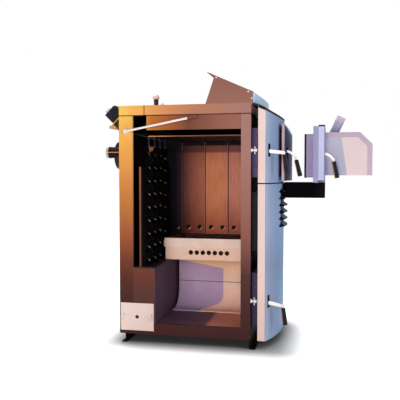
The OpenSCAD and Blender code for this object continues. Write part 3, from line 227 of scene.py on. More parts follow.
def paintedSheet(name, tone, gloss=0.45, wear="#d8c8c0", wornAndLit=0.3, shine=0.1):
    f = Finish(name, Specular_IOR_Level=shine)
    base = tone(f)
    cloud = f.step(f.noise(paint["cloud"], 3), 0.35, 0.7)
    rounded, rim = f.edges(paint["edge"])
    rubbed = rim * f.step(f.noise(paint["rub"], 5), 0.5, 0.66) * wornAndLit
    scuff = f.step(f.noise(paint["scuff"], 6, (1, 1, 9)), 0.66, 0.74) * 0.05
    dusty = f.mix(cloud * paint["grime"], base, f.darker(base, paint["dust"]))
    shown = f.mix(rubbed + scuff, dusty, wear)
    fine, broad = paint["peel"]
    peel = f.noise(fine, 2) + f.noise(broad, 2) * 0.6  # orange peel of the coat
    rough = gloss + cloud * 0.06 + f.noise(paint["sheen"], 3) * 0.08 - rubbed * 0.1
    return f.set(Base_Color=shown, Roughness=rough, Normal=f.bump(peel, paint["depth"], rounded))


steel = {"edge": 0.6, "streak": 90, "spot": 45, "stain": "#a39c9a", "rim": "#ffffff", "depth": 0.02}


def bareSteel(name, tone, gloss=0.3, grain=(1, 14, 14), metallic=0.9, shine=0.5):
    f = Finish(name, Metallic=metallic, Specular_IOR_Level=shine)
    base = tone(f)
    streak = f.noise(steel["streak"], 5, grain)
    rounded, rim = f.edges(steel["edge"])
    spots = f.step(f.noise(steel["spot"], 6), 0.6, 0.75) * 0.25
    stained = f.darker(base, steel["stain"])
    shown = f.mix(f.step(streak, 0.3, 0.8) * 0.3 + spots, base, stained)
    rough = gloss + streak * 0.18 + spots * 0.3
    return f.set(Base_Color=f.mix(rim * 0.5, shown, steel["rim"]), Roughness=rough,
                 Normal=f.bump(streak, steel["depth"], rounded))


concrete = {"edge": 2.5, "pores": 150, "patches": 30, "grain": 230, "blotch": 7, "trowel": 16,
            "stain": 9, "aged": "#b39a90", "pore": "#7e5f56", "chip": "#fbeadd", "depth": 0.25}


def refractory(name, tone):
    f = Finish(name, Specular_IOR_Level=0.2)
    base = tone(f)
    rounded, rim = f.edges(concrete["edge"])
    sparse = f.step(f.noise(concrete["patches"], 2), 0.52, 0.62)
    pores = (1 - f.step(f.cells(concrete["pores"]), 0.05, 0.24)) * sparse
    grain = f.noise(concrete["grain"], 5)
    blotch = f.step(f.noise(concrete["blotch"], 5), 0.42, 0.68)
    trowel = f.noise(concrete["trowel"], 4, (1, 1, 3))
    stain = f.step(f.noise(concrete["stain"], 6, (3, 3, 1)), 0.55, 0.75)
    aged = f.mix(blotch * 0.15 + stain * 0.15, base, f.darker(base, concrete["aged"]))
    pitted = f.mix(pores * 0.75, aged, f.darker(base, concrete["pore"]))
    chipped = f.mix(rim * f.step(grain, 0.45, 0.6) * 0.6, pitted, concrete["chip"])
    rise = grain * 0.5 + trowel * 1.4 - pores * 1.2
    return f.set(Base_Color=chipped, Roughness=0.82 + grain * 0.12,
                 Normal=f.bump(rise, concrete["depth"], rounded))


heated = {"edge": 1.0, "run": 14, "soot": 5, "scale": 190, "sooty": "#7d6a66", "rim": "#b98a76",
          "depth": 0.08}


def heatedPlate(name, tone, streaks=(9, 9, 1), shine=0.25):  # steel that has seen fire
    f = Finish(name, Specular_IOR_Level=shine)
    base = tone(f)
    rounded, rim = f.edges(heated["edge"])
    run = f.noise(heated["run"], 6, streaks)
    soot = f.step(f.noise(heated["soot"], 5), 0.5, 0.75)
    scale = f.noise(heated["scale"], 4)
    sooty = f.darker(base, heated["sooty"])
    shown = f.mix(f.step(run, 0.35, 0.75) * 0.2 + soot * 0.15, base, sooty)
    rough = 0.5 + scale * 0.18 + soot * 0.1
    return f.set(Base_Color=f.mix(rim * 0.3, shown, heated["rim"]), Roughness=rough,
                 Normal=f.bump(scale + run, heated["depth"], rounded))


moulding = {"edge": 0.8, "grain": 900, "wipe": 34, "depth": 0.03}


def blackMoulding(name, tone, gloss=0.34, shine=0.25, rub="#4a4449"):
    f = Finish(name, Specular_IOR_Level=shine)
    rounded, rim = f.edges(moulding["edge"])
    grain = f.cells(moulding["grain"])
    wiped = f.step(f.noise(moulding["wipe"], 5), 0.45, 0.7)
    shown = f.mix(wiped * 0.2 + rim * 0.3, tone(f), rub)
    return f.set(Base_Color=shown, Roughness=gloss + wiped * 0.12,
                 Normal=f.bump(grain, moulding["depth"], rounded))


def evenStops(codes):
    return [(k / (len(codes) - 1), code) for k, code in enumerate(codes)]


def plain(code):  # one tone all over, under the finish's own wear
    return lambda f: code


def upwards(low, high, *codes):  # a tone that changes with height, in metres
    return lambda f: f.ramp((f.z - low) / (high - low), *evenStops(codes))


def forwards(low, high, *codes):  # a tone that changes from rear to front, in metres
    return lambda f: f.ramp((f.x - low) / (high - low), *evenStops(codes))


def shadedByFacing(*codes):  # painted light and shade: a tone that turns with the surface, from rear to front
    return lambda f: f.ramp(f.facing()[0] * 0.5 + 0.5, *evenStops(codes))


# where tones change is in mm, from the casing's corner or from a piece's own edge
onPlane = 0.6 * mm  # a surface this near a plane lies in it
# dark is painted shadow in the seams, inner is painted shade inside the casing and forward of the front
# post
casing = {"cover": 133, "split": 2, "gap": 4.2, "lip": 14.5, "channel": 12, "fore": 6,
          "dark": "#150c0b", "inner": "#120b0b"}


def casingTone(f):  # painted warm light and shade: golden at the upper rear, rosy at the front, dark brown towards the floor
    along = ((f.x - rearX) / (frontX - rearX)).clipped()
    up = (f.z - baseZ) / (topZ - baseZ)
    rear = f.ramp(up, (0, "#3c1a14"), (0.15, "#421f1a"), (0.23, "#4c251b"), (0.32, "#693420"),
                  (0.41, "#8e4a2a"), (0.5, "#a96233"), (0.6, "#c27839"), (0.7, "#d98c40"),
                  (0.84, "#efad4d"), (1, "#fbc75c"))
    front = f.ramp(up, (0, "#3c1c1b"), (0.1, "#401f1f"), (0.27, "#472726"), (0.44, "#824f46"),
                   (0.62, "#926256"), (0.8, "#9d6d68"), (1, "#9c7069"))
    rail = f.ramp(along, (0.02, "#f7c560"), (0.1, "#f2b45b"), (0.17, "#edaa5b"), (0.24, "#e29d5a"),
                  (0.43, "#c88353"), (0.61, "#b27658"), (0.8, "#a4715f"), (0.96, "#9d7169"))
    painted = f.mix(f.z > railZ, f.mix(1 - (1 - along) ** 1.5, rear, front), rail)
    # painted shadow in the gap under the top covers and in the split between them
    shadow = (f.z > railZ - 0.1 * mm) * (f.z < railZ + casing["gap"] * mm)
    split = (f.z > railZ) * f.x.near(rearX + casing["cover"] * mm, casing["split"] * mm)
    seamShadows = f.mix((shadow + split).clipped(), painted, casing["dark"])
    # painted shade on the faces inside the casing and on those forward of the front post
    between = (f.y > openY + casing["lip"] * mm) * (f.y < closedY - casing["channel"] * mm)
    within = between * (f.z < railZ + 0.5 * mm)
    beyond = (f.x > frontX + casing["fore"] * mm) * (f.z < topZ - 1 * mm)
    return f.mix((within + beyond).clipped(), seamShadows, casing["inner"])


def rearWallTone(f):  # painted outside, sooty within
    return f.mix(f.x < rearX + 1 * mm, "#0f0a0b", casingTone(f))


lining = {"reach": 622, "first": 192, "pitch": 136, "count": 3, "line": 2.6, "light": 1.4}


def liningTone(f):  # dark at the gas passage, orange brown towards the doors
    low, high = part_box("lining")
    along = f.ramp((f.x - rearX) / (lining["reach"] * mm), (0.18, "#0e0717"), (0.24, "#180c20"),
                   (0.3, "#40232f"), (0.31, "#5e3535"), (0.4, "#9c5647"), (0.525, "#bc6b50"),
                   (0.528, "#e0845c"), (0.7, "#e88d64"), (0.745, "#da836c"), (1, "#e0917a"))
    up = f.share("lining", "z")
    # darker towards the bottom; painted shade under the ceiling, violet and then black at the top
    fading = f.mix(f.step(up, 0.45, 0.0) * 0.6, along, f.darker(along, "#a86a50"))
    violet = f.mix(f.step(up, 0.875, 0.9) * 0.75, fading, f.darker(along, "#7b6f9c"))
    shaded = f.mix(f.step(up, 0.955, 0.97), violet, "#120a0c")
    for k in range(lining["count"]):
        seam = rearX + (lining["first"] + k * lining["pitch"]) * mm
        # a painted highlight beside each seam, and a dark line on it
        shaded = f.mix(f.x.near(seam - 3 * mm, lining["light"] * mm) * 0.3, shaded, "#c9a294")
        shaded = f.mix(f.x.near(seam + 1 * mm, lining["line"] * mm), shaded, "#1b1013")
    # painted shade on the walls of the air holes
    holes = (f.y > low.y + 0.8 * mm) * (f.y < high.y - 0.2 * mm)
    return f.mix(holes, shaded, "#2a1a18")


def panelTone(f):  # painted warm light at its rear end
    return f.ramp(f.share("upper_panel"), (0, "#cb8234"), (0.06, "#b86d2e"), (0.2, "#a65b2a"),
                  (0.45, "#6c3d2b"), (0.8, "#8b5747"), (1, "#925d4e"))


def rising(f, node, *codes):  # from the foot of a CAD node to its top
    return f.ramp(f.share(node, "z"), *evenStops(codes))


def ductTone(f):  # brown in front, painted violet shade at the side, dark on top
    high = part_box("ash_duct")[1]
    front = rising(f, "ash_duct", "#3d180e", "#461b0d", "#612710")
    side = rising(f, "ash_duct", "#4e3950", "#493247", "#3e2d44")
    outer = f.mix(f.x > high.x - 1 * mm, front, side)
    return f.mix(f.z > high.z - 7 * mm, outer, "#1e0c09")


def jacketTone(f):  # painted shade all over, only its edge at the open side shows brown
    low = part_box("jacket_plate")[0]
    edge = rising(f, "jacket_plate", "#6a4034", "#7f4c38", "#9a5c42")
    return f.mix((f.y < low.y + onPlane) * (f.x < low.x + 8 * mm), "#0e090b", edge)


def ceilingTone(f):  # a lip in painted golden light that fades to brown, sooty behind it
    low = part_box("ceiling_plate")[0]
    lip = f.ramp(f.share("ceiling_plate"), *evenStops(["#c88a48", "#8a5538", "#6e4232", "#744c40"]))
    return f.mix(f.y < low.y + onPlane, "#0b0708", lip)


# toward is the way the painted glints face; patch is where a painted patch of light falls near the top
strips = {"first": 42, "pitch": 100, "x": 145, "rim": 21.6, "top": 951, "toward": (0.35, -0.93),
          "patch": (917, 62, 2)}


def stripsTone(f):  # scaled black, with a painted glint where an edge turns outwards, painted warm light on faces that turn that way, and a painted patch of light near the top
    across = (f.y - openY - strips["first"] * mm).mirrored(strips["pitch"] * mm)
    along = f.x - rearX - strips["x"] * mm
    away = (across * across + along * along) ** 0.5
    nx, ny = f.facing()[:2]
    turned = nx * strips["toward"][0] + ny * strips["toward"][1]
    rod = f.z > baseZ + strips["top"] * mm
    # painted glints where a rim turns outwards, and painted warm light on the faces that turn that way
    glint = (away > strips["rim"] * mm) * f.step(turned, 0.985, 0.997) * (1 - rod)
    warmLight = f.step(turned, 0.96, 0.995) * (away < strips["rim"] * mm)
    up, out, fore = strips["patch"]
    patch = (f.z > baseZ + up * mm) * (f.y < openY + out * mm) * (along > fore * mm)
    face = f.mix(warmLight * 0.35, "#040304", "#2a1a12")
    # a painted patch of light near the top
    wornAndLit = f.mix(patch * f.step(turned, 0.2, 0.5), face, "#8e5234")
    return f.mix(rod, f.mix(glint, wornAndLit, "#e6e2f0"), "#3c3a48")


ceramics = {"edge": 456, "bend": (133, 75, 134), "top": (300, 316, 0.164), "soft": 4, "crest": 51,
            "gutter": (0.1, 0.385), "joint": 1.6, "glow": (300, 600), "passed": 285,
            "hearth": (210, 544, 353, 506, 30), "hole": (3.0, 78, 14.0)}


def ceramicTone(f):  # a mauve shade on the gutter with warm light round it, a brown hearth
    blockLow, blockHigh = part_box("nozzle_block")
    start, reach, curve = ceramics["bend"]
    soft = ceramics["soft"] * mm
    sunk = (((start * mm + baseZ) - f.z) / (reach * mm)).clipped()
    edge = rearX + ceramics["edge"] * mm - sunk ** 4.5 * (curve * mm)
    crest, begin, fall = ceramics["top"]
    above = f.z - (baseZ + crest * mm) + (f.x - rearX - begin * mm) * fall
    warmLight = f.step(f.x - edge, -soft, soft).atLeast(f.step(above, -soft, soft))
    foot, crown = ceramics["gutter"]
    shade = upwards(foot, crown, "#b49bbe", "#c5a7c5", "#b598b0")(f)
    light = upwards(foot, crown, "#ffc7b2", "#ffd8c2", "#ffc79a")(f)
    gutter = f.mix(warmLight, shade, light)
    near, far = (rearX + reach * mm for reach in ceramics["glow"])
    block = f.mix(f.step(f.x, near, far), "#ffd6be", "#ffd2b6")
    rimmed = f.mix(f.z > blockHigh.z - ceramics["crest"] * mm, block, "#ffdfce")
    rear, fore, near, far, sunken = ceramics["hearth"]
    along = (f.x > rearX + rear * mm) * (f.x < rearX + fore * mm)
    deep = (f.y > openY + near * mm) * (f.y < openY + far * mm)
    hearth = along * deep * (f.z > blockHigh.z - sunken * mm)
    shelf = (f.z > blockHigh.z - onPlane) + hearth
    top = f.mix(shelf.clipped(), rimmed, "#3a1c16")
    # painted shade inside the nozzle holes
    inward, down, rim = ceramics["hole"]
    level = f.z.near(blockHigh.z - down * mm, rim * mm)
    bore = (f.y > blockLow.y + inward * mm) * level * (f.x > rearX + ceramics["passed"] * mm)
    drilled = f.mix(bore, top, "#4a2a1e")
    joint = f.z.near(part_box("gutter_upper")[0].z, ceramics["joint"] * mm)
    lower = f.mix(joint, gutter, "#332026")
    return f.mix(f.step(f.z, crown - 1 * mm, crown + 1 * mm), lower, drilled)


sheetFlange = 39.3  # depth of the flange that ends each cover at its sides
louvres = {"half": 110.6, "foot": 541, "top": 734, "pitch": 35, "tip": 32, "point": 0.25,
           "dark": "#090a14", "crown": "#6f86a4"}  # the painted shadow field, wedges of painted shadow that reach past it, and painted light on the hood crowns


def coverTone(f):  # painted coloured light: cream side flanges, steel-blue bow with painted shade that changes with height; painted shade behind the sheet
    low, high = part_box("upper_cover")
    bow = f.ramp(f.share("upper_cover"), (0.38, "#b6c5e4"), (0.6, "#a2b4d6"), (0.85, "#98b1d8"),
                 (1, "#98bde2"))
    lower = f.darker(bow, f.ramp(f.z, (0.08, "#ffffff"), (0.4, "#dedde0"), (0.62, "#f0f0f2")))
    flange = upwards(0.05, 1.1, "#e6c9c4", "#ddc6c0", "#e5ccc6")(f)
    painted = f.mix(f.x < low.x + sheetFlange * mm, lower, flange)
    aside = f.y - (openY + closedY) / 2
    spot = f.add("ShaderNodeCombineXYZ", {}, {0: f.x - (high.x - bowRadius * mm), 1: aside})
    away = f.vector("LENGTH", {0: spot}, 1)
    # painted shade on the faces behind the sheet of the bow
    inside = (away < (bowRadius - 1.0) * mm) * (f.x > low.x + sheetFlange * mm)
    # painted shadow on the louvre column and in wedges beside each slot, painted light on the tops of
    # the hoods
    half, foot, pitch = louvres["half"], louvres["foot"], louvres["pitch"]
    level = (f.z > baseZ + foot * mm) * (f.z < baseZ + (louvres["top"] + 3) * mm)
    hoods = aside.near(0.0, half * mm) * level * (away > (bowRadius + 0.4) * mm)
    column = aside.near(0.0, (half - 6) * mm) * level
    slot = (f.z - (baseZ + foot + pitch / 2) * mm).repeated(pitch * mm)
    spread = abs(aside)
    left = ((half + louvres["tip"]) * mm - spread) * louvres["point"]
    wedges = (abs(slot) < left) * level
    crowned = (spread < half * 0.7 * mm) * (f.facing()[2] > 0.3)
    crown = f.mix(crowned, louvres["dark"], louvres["crown"])
    shown = f.mix((inside + column + wedges).clipped(), painted, louvres["dark"])
    return f.mix(hoods, shown, crown)


doorEdge = {"deep": 35, "lower": 260, "fore": 30}


def doorTone(f):  # indigo edge, brown towards its front
    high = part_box("upper_door")[1]
    side = f.ramp((f.x - frontX) / (doorEdge["deep"] * mm), (0.1, "#29254c"), (0.5, "#3a3560"),
                  (0.7, "#554062"), (0.95, "#684444"))
    lower = f.mix(f.z < high.z - doorEdge["lower"] * mm, side, f.darker(side, "#b2acb8"))
    return f.mix(f.x > high.x - doorEdge["fore"] * mm, lower, "#1c1a2c")


def blindPlateTone(f):
    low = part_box("blind_plate")[0]
    face = rising(f, "blind_plate", "#bf9aa9", "#b695ae", "#c39ba5")
    return f.mix(f.x < low.x + 2 * onPlane, face, "#5a3f50")


def blindCoverTone(f):
    along = f.ramp(f.share("blind_cover"), (0, "#1f2a36"), (0.3, "#273442"), (0.55, "#2b3a4a"),
                   (0.7, "#3e4468"), (0.9, "#5a5a88"))
    # painted highlight on the faces that turn upwards
    return f.mix(f.facing()[2] > 0.35, along, "#a9c3d6")


burnerLight = {"start": (84, 88), "lean": 0.15, "flat": 0.98}


def burnerTone(f):  # a painted patch of light towards the front, a greyer border of painted shade on the bevels
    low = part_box("burner_casing")[0]
    near, far = burnerLight["start"]
    lit = f.step(f.x + (f.z - 1.0) * burnerLight["lean"], low.x + near * mm, low.x + far * mm)
    side = f.mix(lit, rising(f, "burner_casing", "#aaaac1", "#b4b0c3"), "#ddc7c8")
    bevel = abs(f.facing()[1]) < burnerLight["flat"]
    return f.mix(bevel, side, "#bda8b8")


def burnerCoverTone(f):
    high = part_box("burner_cover")[1]
    face = rising(f, "burner_cover", "#b7b8dc", "#c0c1e3")
    return f.mix(f.x > high.x - 4 * mm, face, "#8882ac")


def pipeTone(f):  # dark paint, bare thread at the end, warm light along the side
    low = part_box("water_pipes")[0]
    turned = f.facing()[2] * 0.5 + 0.5
    coat = f.ramp(turned, (0, "#150b0c"), (0.42, "#2a1516"), (0.455, "#2a1516"), (0.47, "#e39a55"),
                  (0.53, "#e39a55"), (0.545, "#2c1c24"), (1, "#12111c"))
    return f.mix(f.x < low.x + 13 * mm, coat, "#cfc4cc")


floorRim = {"front": 40, "back": 30}


def floorTone(f):  # warm light at the front end
    lit = f.ramp((f.x - rearX) / (lining["reach"] * mm), (0.5, "#503848"), (0.7, "#633f47"),
                 (0.735, "#e68b70"), (1, "#ea8d6c"))
    outside = (f.x > frontX - floorRim["front"] * mm) + (f.y > closedY - floorRim["back"] * mm)
    return f.mix(outside.clipped(), lit, "#120b0b")


# pale steel with painted shade, from faces turned to the rear to those turned to the front
polishAndShade = ("#e2d3d0", "#f0e8e6", "#ece4e6", "#cfc6d4")


def gearTone(f):  # polished, with painted shade that turns with the surface, outside the casing; sooty inside
    return f.mix(f.y > openY + 1 * mm, shadedByFacing(*polishAndShade)(f), "#151215")


airHoles = {"first": 160, "pitch": 68, "count": 6, "up": 39, "outer": 12.2, "inner": 9.8,
            "proud": 1.4}


def sleeveTone(f):  # dark rings, with painted light on the lower side towards the front
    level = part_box("lining")[0].z + airHoles["up"] * mm
    across = (f.x - rearX - airHoles["first"] * mm).repeated(airHoles["pitch"] * mm)
    return f.mix(f.step(across - (f.z - level), 8 * mm, 11 * mm), "#120908", "#ffd0a0")


finishes = {
    "casing": paintedSheet("casing paint", casingTone),
    "panel": paintedSheet("panel paint", panelTone),
    "rearWall": paintedSheet("rear wall paint", rearWallTone),
    "dark": paintedSheet("dark inner steel", upwards(0.1, 1, "#0c0809", "#070506"), 0.6, "#1c1614",
                         shine=0.04),
    "floor": heatedPlate("floor plate", floorTone, (1, 9, 9)),
    "duct": paintedSheet("duct paint", ductTone, 0.5, "#9a6a58", shine=0.25),
    "lining": heatedPlate("lining plate", liningTone, shine=0.1),
    "jacket": heatedPlate("jacket plate", jacketTone, shine=0.1),
    "ceiling": heatedPlate("ceiling plate", ceilingTone, (1, 9, 9), 0.1),
    "ceramic": refractory("refractory concrete", ceramicTone),
    "cover": paintedSheet("cover paint", coverTone, 0.42, "#f4eeee", shine=0.015),
    "door": paintedSheet("door paint", doorTone, 0.5, "#77708a", shine=0.2),
    "airbox": paintedSheet("air box paint", upwards(0.4, 0.8, "#101018", "#16161f"), 0.5, "#44444f"),
    "control": paintedSheet("control box paint", upwards(1.18, 1.35, "#946458", "#885a4f")),
    "fascia": paintedSheet("fascia paint", upwards(1.2, 1.26, "#8bb8dc", "#c4ecff"), 0.25, "#e8f2fa"),
    "rear": paintedSheet("rear fittings paint", upwards(0.8, 1.2, "#1d171a", "#241c20"),
                         wear="#5e5050", shine=0.2),
    "pipe": paintedSheet("pipe paint", pipeTone, 0.5, "#6a5048", 0.15, shine=0.06),
    "gear": bareSteel("lever steel", gearTone, 0.35, (14, 14, 14), 0.1, shine=0.15),
    # painted warm light, brighter towards the top
    "gold": bareSteel("plate in painted warm light", upwards(1.05, 1.25, "#c98630", "#f0b850"), 0.34,
                      metallic=0.5),
    # painted shade that turns with the surface
    "bright": bareSteel("polished steel", shadedByFacing(*polishAndShade), 0.35, (14, 14, 14), 0.1),
    "cleanout": paintedSheet("clean-out cover paint",
                             forwards(rearX, rearX + 0.18, "#e8d1c6", "#e1c8c1"), wear="#ffffff"),
    # painted warm light on the faces turned to the rear
    "motor": blackMoulding("motor housing", shadedByFacing("#2a1a18", "#171114", "#0b090c", "#10101a"),
                           0.45, 0.15),
    "rope": blackMoulding("seal rope", plain("#171414"), 0.85, 0.1, "#2e2828"),
    # painted warm light on the faces turned to the rear, painted blue light on those turned to the
    # front
    "grip": blackMoulding("lever grip", shadedByFacing("#d9984f", "#c07a3e", "#7a4a2c", "#120e14", "#0d0e16",
                                                 "#0e1018", "#24364c", "#2c4666"),
                          0.45, 0.08, "#26222a"),
    "sleeve": blackMoulding("cleaning lever grip", plain("#7a4436"), 0.55, 0.06, "#8a5648"),
    "shelf": paintedSheet("shelf paint", forwards(0.27, 0.5, "#020205", "#020306", "#020204",
                                                  "#180d14"), 0.6, "#15141a", shine=0.02),
    "strips": paintedSheet("scaled strips", stripsTone, 0.6, "#15100e", 0.2, shine=0.04),
    "blindPlug": blackMoulding("blind plug", plain("#0a0608"), 0.7, 0.05, "#1c1216"),
    "blindPlate": paintedSheet("blind plate paint", blindPlateTone, 0.4),
    "blindCover": paintedSheet("blind cover paint", blindCoverTone, 0.35, "#6c7288", shine=0.2),
    "burnerPlug": paintedSheet("burner plug board", upwards(0.8, 1.1, "#9d8fb4", "#a595b6"), 0.6),
    "burnerDoor": paintedSheet("burner door paint", upwards(0.8, 1.1, "#9a95b8", "#9591b3"), 0.4,
                               "#d8d0ea"),
    "burnerCover": paintedSheet("burner cover paint", burnerCoverTone, 0.35, "#f0edff"),
    "burner": paintedSheet("burner casing paint", burnerTone, 0.4),
    "tube": paintedSheet("feed tube paint", upwards(1.07, 1.16, "#747c9c", "#a6a6c0", "#dcc6c9"), 0.4),
    "black": paintedSheet("black trim", plain("#0a090d"), 0.5, "#33303a", shine=0.08),
    # painted warm reflection on the faces turned to the rear
    "vent": blackMoulding("vent pipe", shadedByFacing("#e0a04c", "#8a5a2c", "#171214", "#0c0a0d",
                                                "#0c0a0d"), 0.35, 0.2),
    # painted shade on the faces turned to the rear and to the front
    "cap": bareSteel("vent cap", shadedByFacing("#c9a9a4", "#eadcda", "#e4d2d2", "#b59aa0"), 0.4,
                     metallic=0.1),
    # painted blue light on the faces turned to the front
    "motorCap": bareSteel("motor end plates", shadedByFacing("#e9dfe6", "#d3cfe0", "#a9b6dc", "#8fa2d2"),
                          0.4, metallic=0.2),
    "sleeveRing": blackMoulding("air hole sleeves", sleeveTone, 0.5, 0.08, "#2a1a16"),
    "screw": bareSteel("dark screws", plain("#2a2738"), 0.5, metallic=0.1),
    "glass": blackMoulding("display window", plain("#07080b"), 0.08, 0.5),
}
dressing = {
    "casing": ["rear_post", "front_post", "sill", "rear_top_cover", "front_top_cover", "closed_side"],
    "panel": ["upper_panel"], "rearWall": ["rear_wall"],
    "dark": ["runners", "front_rails", "front_stiles", "water_space", "hinge_pins"],
    "floor": ["floor"], "duct": ["ash_duct"], "lining": ["lining"], "jacket": ["jacket_plate"],
    "ceiling": ["ceiling_plate"], "ceramic": ["nozzle_block", "gutter_upper", "gutter_lower"],
    "cover": ["upper_cover", "lower_cover"], "door": ["upper_door", "lower_door"],
    "airbox": ["air_box"], "control": ["control_housing", "control_lid"],
    "fascia": ["control_fascia"], "rear": ["smoke_box", "flue_spigot"], "pipe": ["water_pipes"],
    "gold": ["fan_plate"], "gear": ["cleaning_lever"],
    "bright": ["upper_lever", "lower_lever", "burner_lever", "blind_lever", "catch_studs",
               "top_fittings"],
    "cleanout": ["cleanout_cover"], "motor": ["fan_motor"], "rope": ["door_seals"],
    "shelf": ["shelf"], "strips": ["turbulators"], "blindPlug": ["blind_plug"],
    "blindPlate": ["blind_plate"], "blindCover": ["blind_cover"], "burnerPlug": ["burner_plug"],
    "burnerDoor": ["burner_door"], "burnerCover": ["burner_cover"], "burner": ["burner_casing"],
    "tube": ["feed_tube"],
}
for finish, names in dressing.items():
    for name in names:
        mesh = nodes[name].data
        mesh.materials.clear()
        mesh.materials.append(finishes[finish])
print("materials", len(finishes))


# makers of meshes, all in mm

def around(count, r=1.0):  # points on a circle
    return [(r * cos(2 * pi * k / count), r * sin(2 * pi * k / count)) for k in range(count)]


def roundedBox(w, h, r, steps=5):  # outline of a rectangle with round corners, about its middle
    right, top = w / 2 - r, h / 2 - r
    middles = [(right, top), (-right, top), (-right, -top), (right, -top)]
    outline = []
    for turn, (x, y) in enumerate(middles):
        for k in range(steps + 1):
            a = (turn + k / steps) * pi / 2
            outline.append((x + r * cos(a), y + r * sin(a)))
    return outline


def skin(bm, rings):  # faces between one ring of points and the next
    for first, second in zip(rings, rings[1:]):
        for k in range(len(first)):
            bm.faces.new((first[k - 1], first[k], second[k], second[k - 1]))


def loft(rings):  # skins equal rings of points and closes both ends
    bm = bmesh.new()
    made = [[bm.verts.new(point) for point in ring] for ring in rings]
    skin(bm, made)
    bm.faces.new(made[0])
    bm.faces.new(made[-1])
    return bm


def prism(outline, depth):  # an outline in X and Y, pushed along Z
    return loft([[(x, y, z) for x, y in outline] for z in (0, depth)])


def lathe(profile, steps=32):  # (radius, height) pairs turned about Z
    bm = bmesh.new()
    verts = [bm.verts.new((r, 0, z)) for r, z in profile]
    edges = [bm.edges.new(pair) for pair in zip(verts, verts[1:])]
    bmesh.ops.spin(bm, geom=verts + edges, axis=(0, 0, 1), cent=(0, 0, 0), angle=2 * pi, steps=steps)
    bmesh.ops.remove_doubles(bm, verts=bm.verts, dist=0.001)
    return bm


def sweep(path, section, closed=False, up=(0, 0, 1)):  # section is points, or makes them for a step
    bm = bmesh.new()
    rings, count = [], len(path)
    for k, here in enumerate(path):
        before = path[k - 1] if k or closed else here
        after = path[(k + 1) % count] if k < count - 1 or closed else here
        along = (Vector(after) - Vector(before)).normalized()
        side = along.cross(Vector(up)).normalized()
        over = side.cross(along)
        points = section(k) if callable(section) else section
        rings.append([bm.verts.new(Vector(here) + side * u + over * v) for u, v in points])
    if closed:
        skin(bm, rings + rings[:1])
    else:
        skin(bm, rings)
        bm.faces.new(rings[0])
        bm.faces.new(rings[-1])
    return bm


def evenly(points, pitch):  # points at even distances round a closed outline
    sides = list(zip(points, points[1:] + points[:1]))
    total = sum(hypot(b[0] - a[0], b[1] - a[1]) for a, b in sides)
    count = ceil(total / pitch)
    result, walked, k = [], 0.0, 0
    for a, b in sides:
        reach = hypot(b[0] - a[0], b[1] - a[1])
        while k < count and k * total / count <= walked + reach:
            part = (k * total / count - walked) / reach if reach else 0
            result.append((a[0] + (b[0] - a[0]) * part, a[1] + (b[1] - a[1]) * part))
            k += 1
        walked += reach
    return result


# degrees and axis that turn Z to each way a part can face
turns = {"Z": (0, "X"), "X": (90, "Y"), "-X": (-90, "Y"), "Y": (-90, "X"), "-Y": (90, "X")}


def shift(place):
    return Matrix.Translation(place)


def turn(degrees, axis):
    return Matrix.Rotation(radians(degrees), 4, axis)


def moved(bm, place, facing="Z", spin=0):  # turns a part from Z to where it faces, then moves it
    bm.transform(shift(place) @ turn(*turns[facing]) @ turn(spin, "Z"))
    return bm


def placed(bm, matrix):
    bm.transform(matrix)
    return bm


def eased(bm, reach, segments=2, angle=35):  # rounds the sharp edges
    sharp = [edge for edge in bm.edges
             if edge.is_manifold and edge.calc_face_angle(0) > radians(angle)]
    bmesh.ops.bevel(bm, geom=sharp, offset=reach, segments=segments, profile=0.6, affect="EDGES")
    return bm


def slab(w, h, r, thick, ease):  # a plate with round corners and eased edges
    return eased(prism(roundedBox(w, h, r), thick), ease)


def joined(*parts):
    whole = bmesh.new()
    for part in parts:
        mesh = bpy.data.meshes.new("part")
        part.to_mesh(mesh)
        whole.from_mesh(mesh)
        bpy.data.meshes.remove(mesh)
        part.free()
    return whole


def piece(name, bm, finish, body, replaces=()):
    bmesh.ops.recalc_face_normals(bm, faces=bm.faces)
    bm.transform(shift(corner) @ Matrix.Scale(mm, 4))
    mesh = bpy.data.meshes.new(name)
    bm.to_mesh(mesh)
    bm.free()
    for face in mesh.polygons:
        face.use_smooth = True
    mesh.set_sharp_from_angle(angle=radians(32))
    mesh.materials.append(finishes[finish])
    made = bpy.data.objects.new(name, mesh)
    bpy.context.scene.collection.objects.link(made)
    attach(made, body)
    for node in replaces:
        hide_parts(node)


# small fasteners, each standing on Z = 0

def domeScrew(d, h):
    r, socket = d / 2, d / 5
    dome = [(r * cos(k * pi / 12), 0.3 + (h - 0.3) * sin(k * pi / 12)) for k in range(5)]
    return lathe([(0, 0), (r, 0)] + dome + [(socket, h), (socket * 0.9, h * 0.45), (0, h * 0.4)], 20)


def hexHead(flats, h):
    return eased(prism(around(6, flats / sqrt(3)), h), flats * 0.05)


def washer(outer, inner, h):
    return lathe([(inner, 0), (outer, 0), (outer, h * 0.7), (outer - 0.3 * h, h), (inner, h),
                  (inner, 0)], 28)


def thread(r, pitch, reach, depth, steps=24):  # a ridge wound round Z
    path = []
    for k in range(int(reach / pitch * steps)):
        a = 2 * pi * k / steps
        path.append((r * cos(a), r * sin(a), k * pitch / steps))
    return sweep(path, [(-0.4, -pitch * 0.42), (depth, 0), (-0.4, pitch * 0.42)])


def rod(r, reach, ease, steps=20):
    return lathe([(0, 0), (r, 0), (r, reach - ease), (r - ease, reach), (0, reach)], steps)


def bolt(flats, head, shank=0.0, r=3.0):  # hexagon head on a washer
    parts = [washer(flats * 0.72, r * 0.6, 1.2), moved(hexHead(flats, head), (0, 0, 1.1))]
    if shank:
        parts.append(moved(rod(r, shank, 0.6), (0, 0, head)))
        parts.append(moved(thread(r, 1.3, shank - 2, 0.35, 18), (0, 0, head + 1)))
    return joined(*parts)


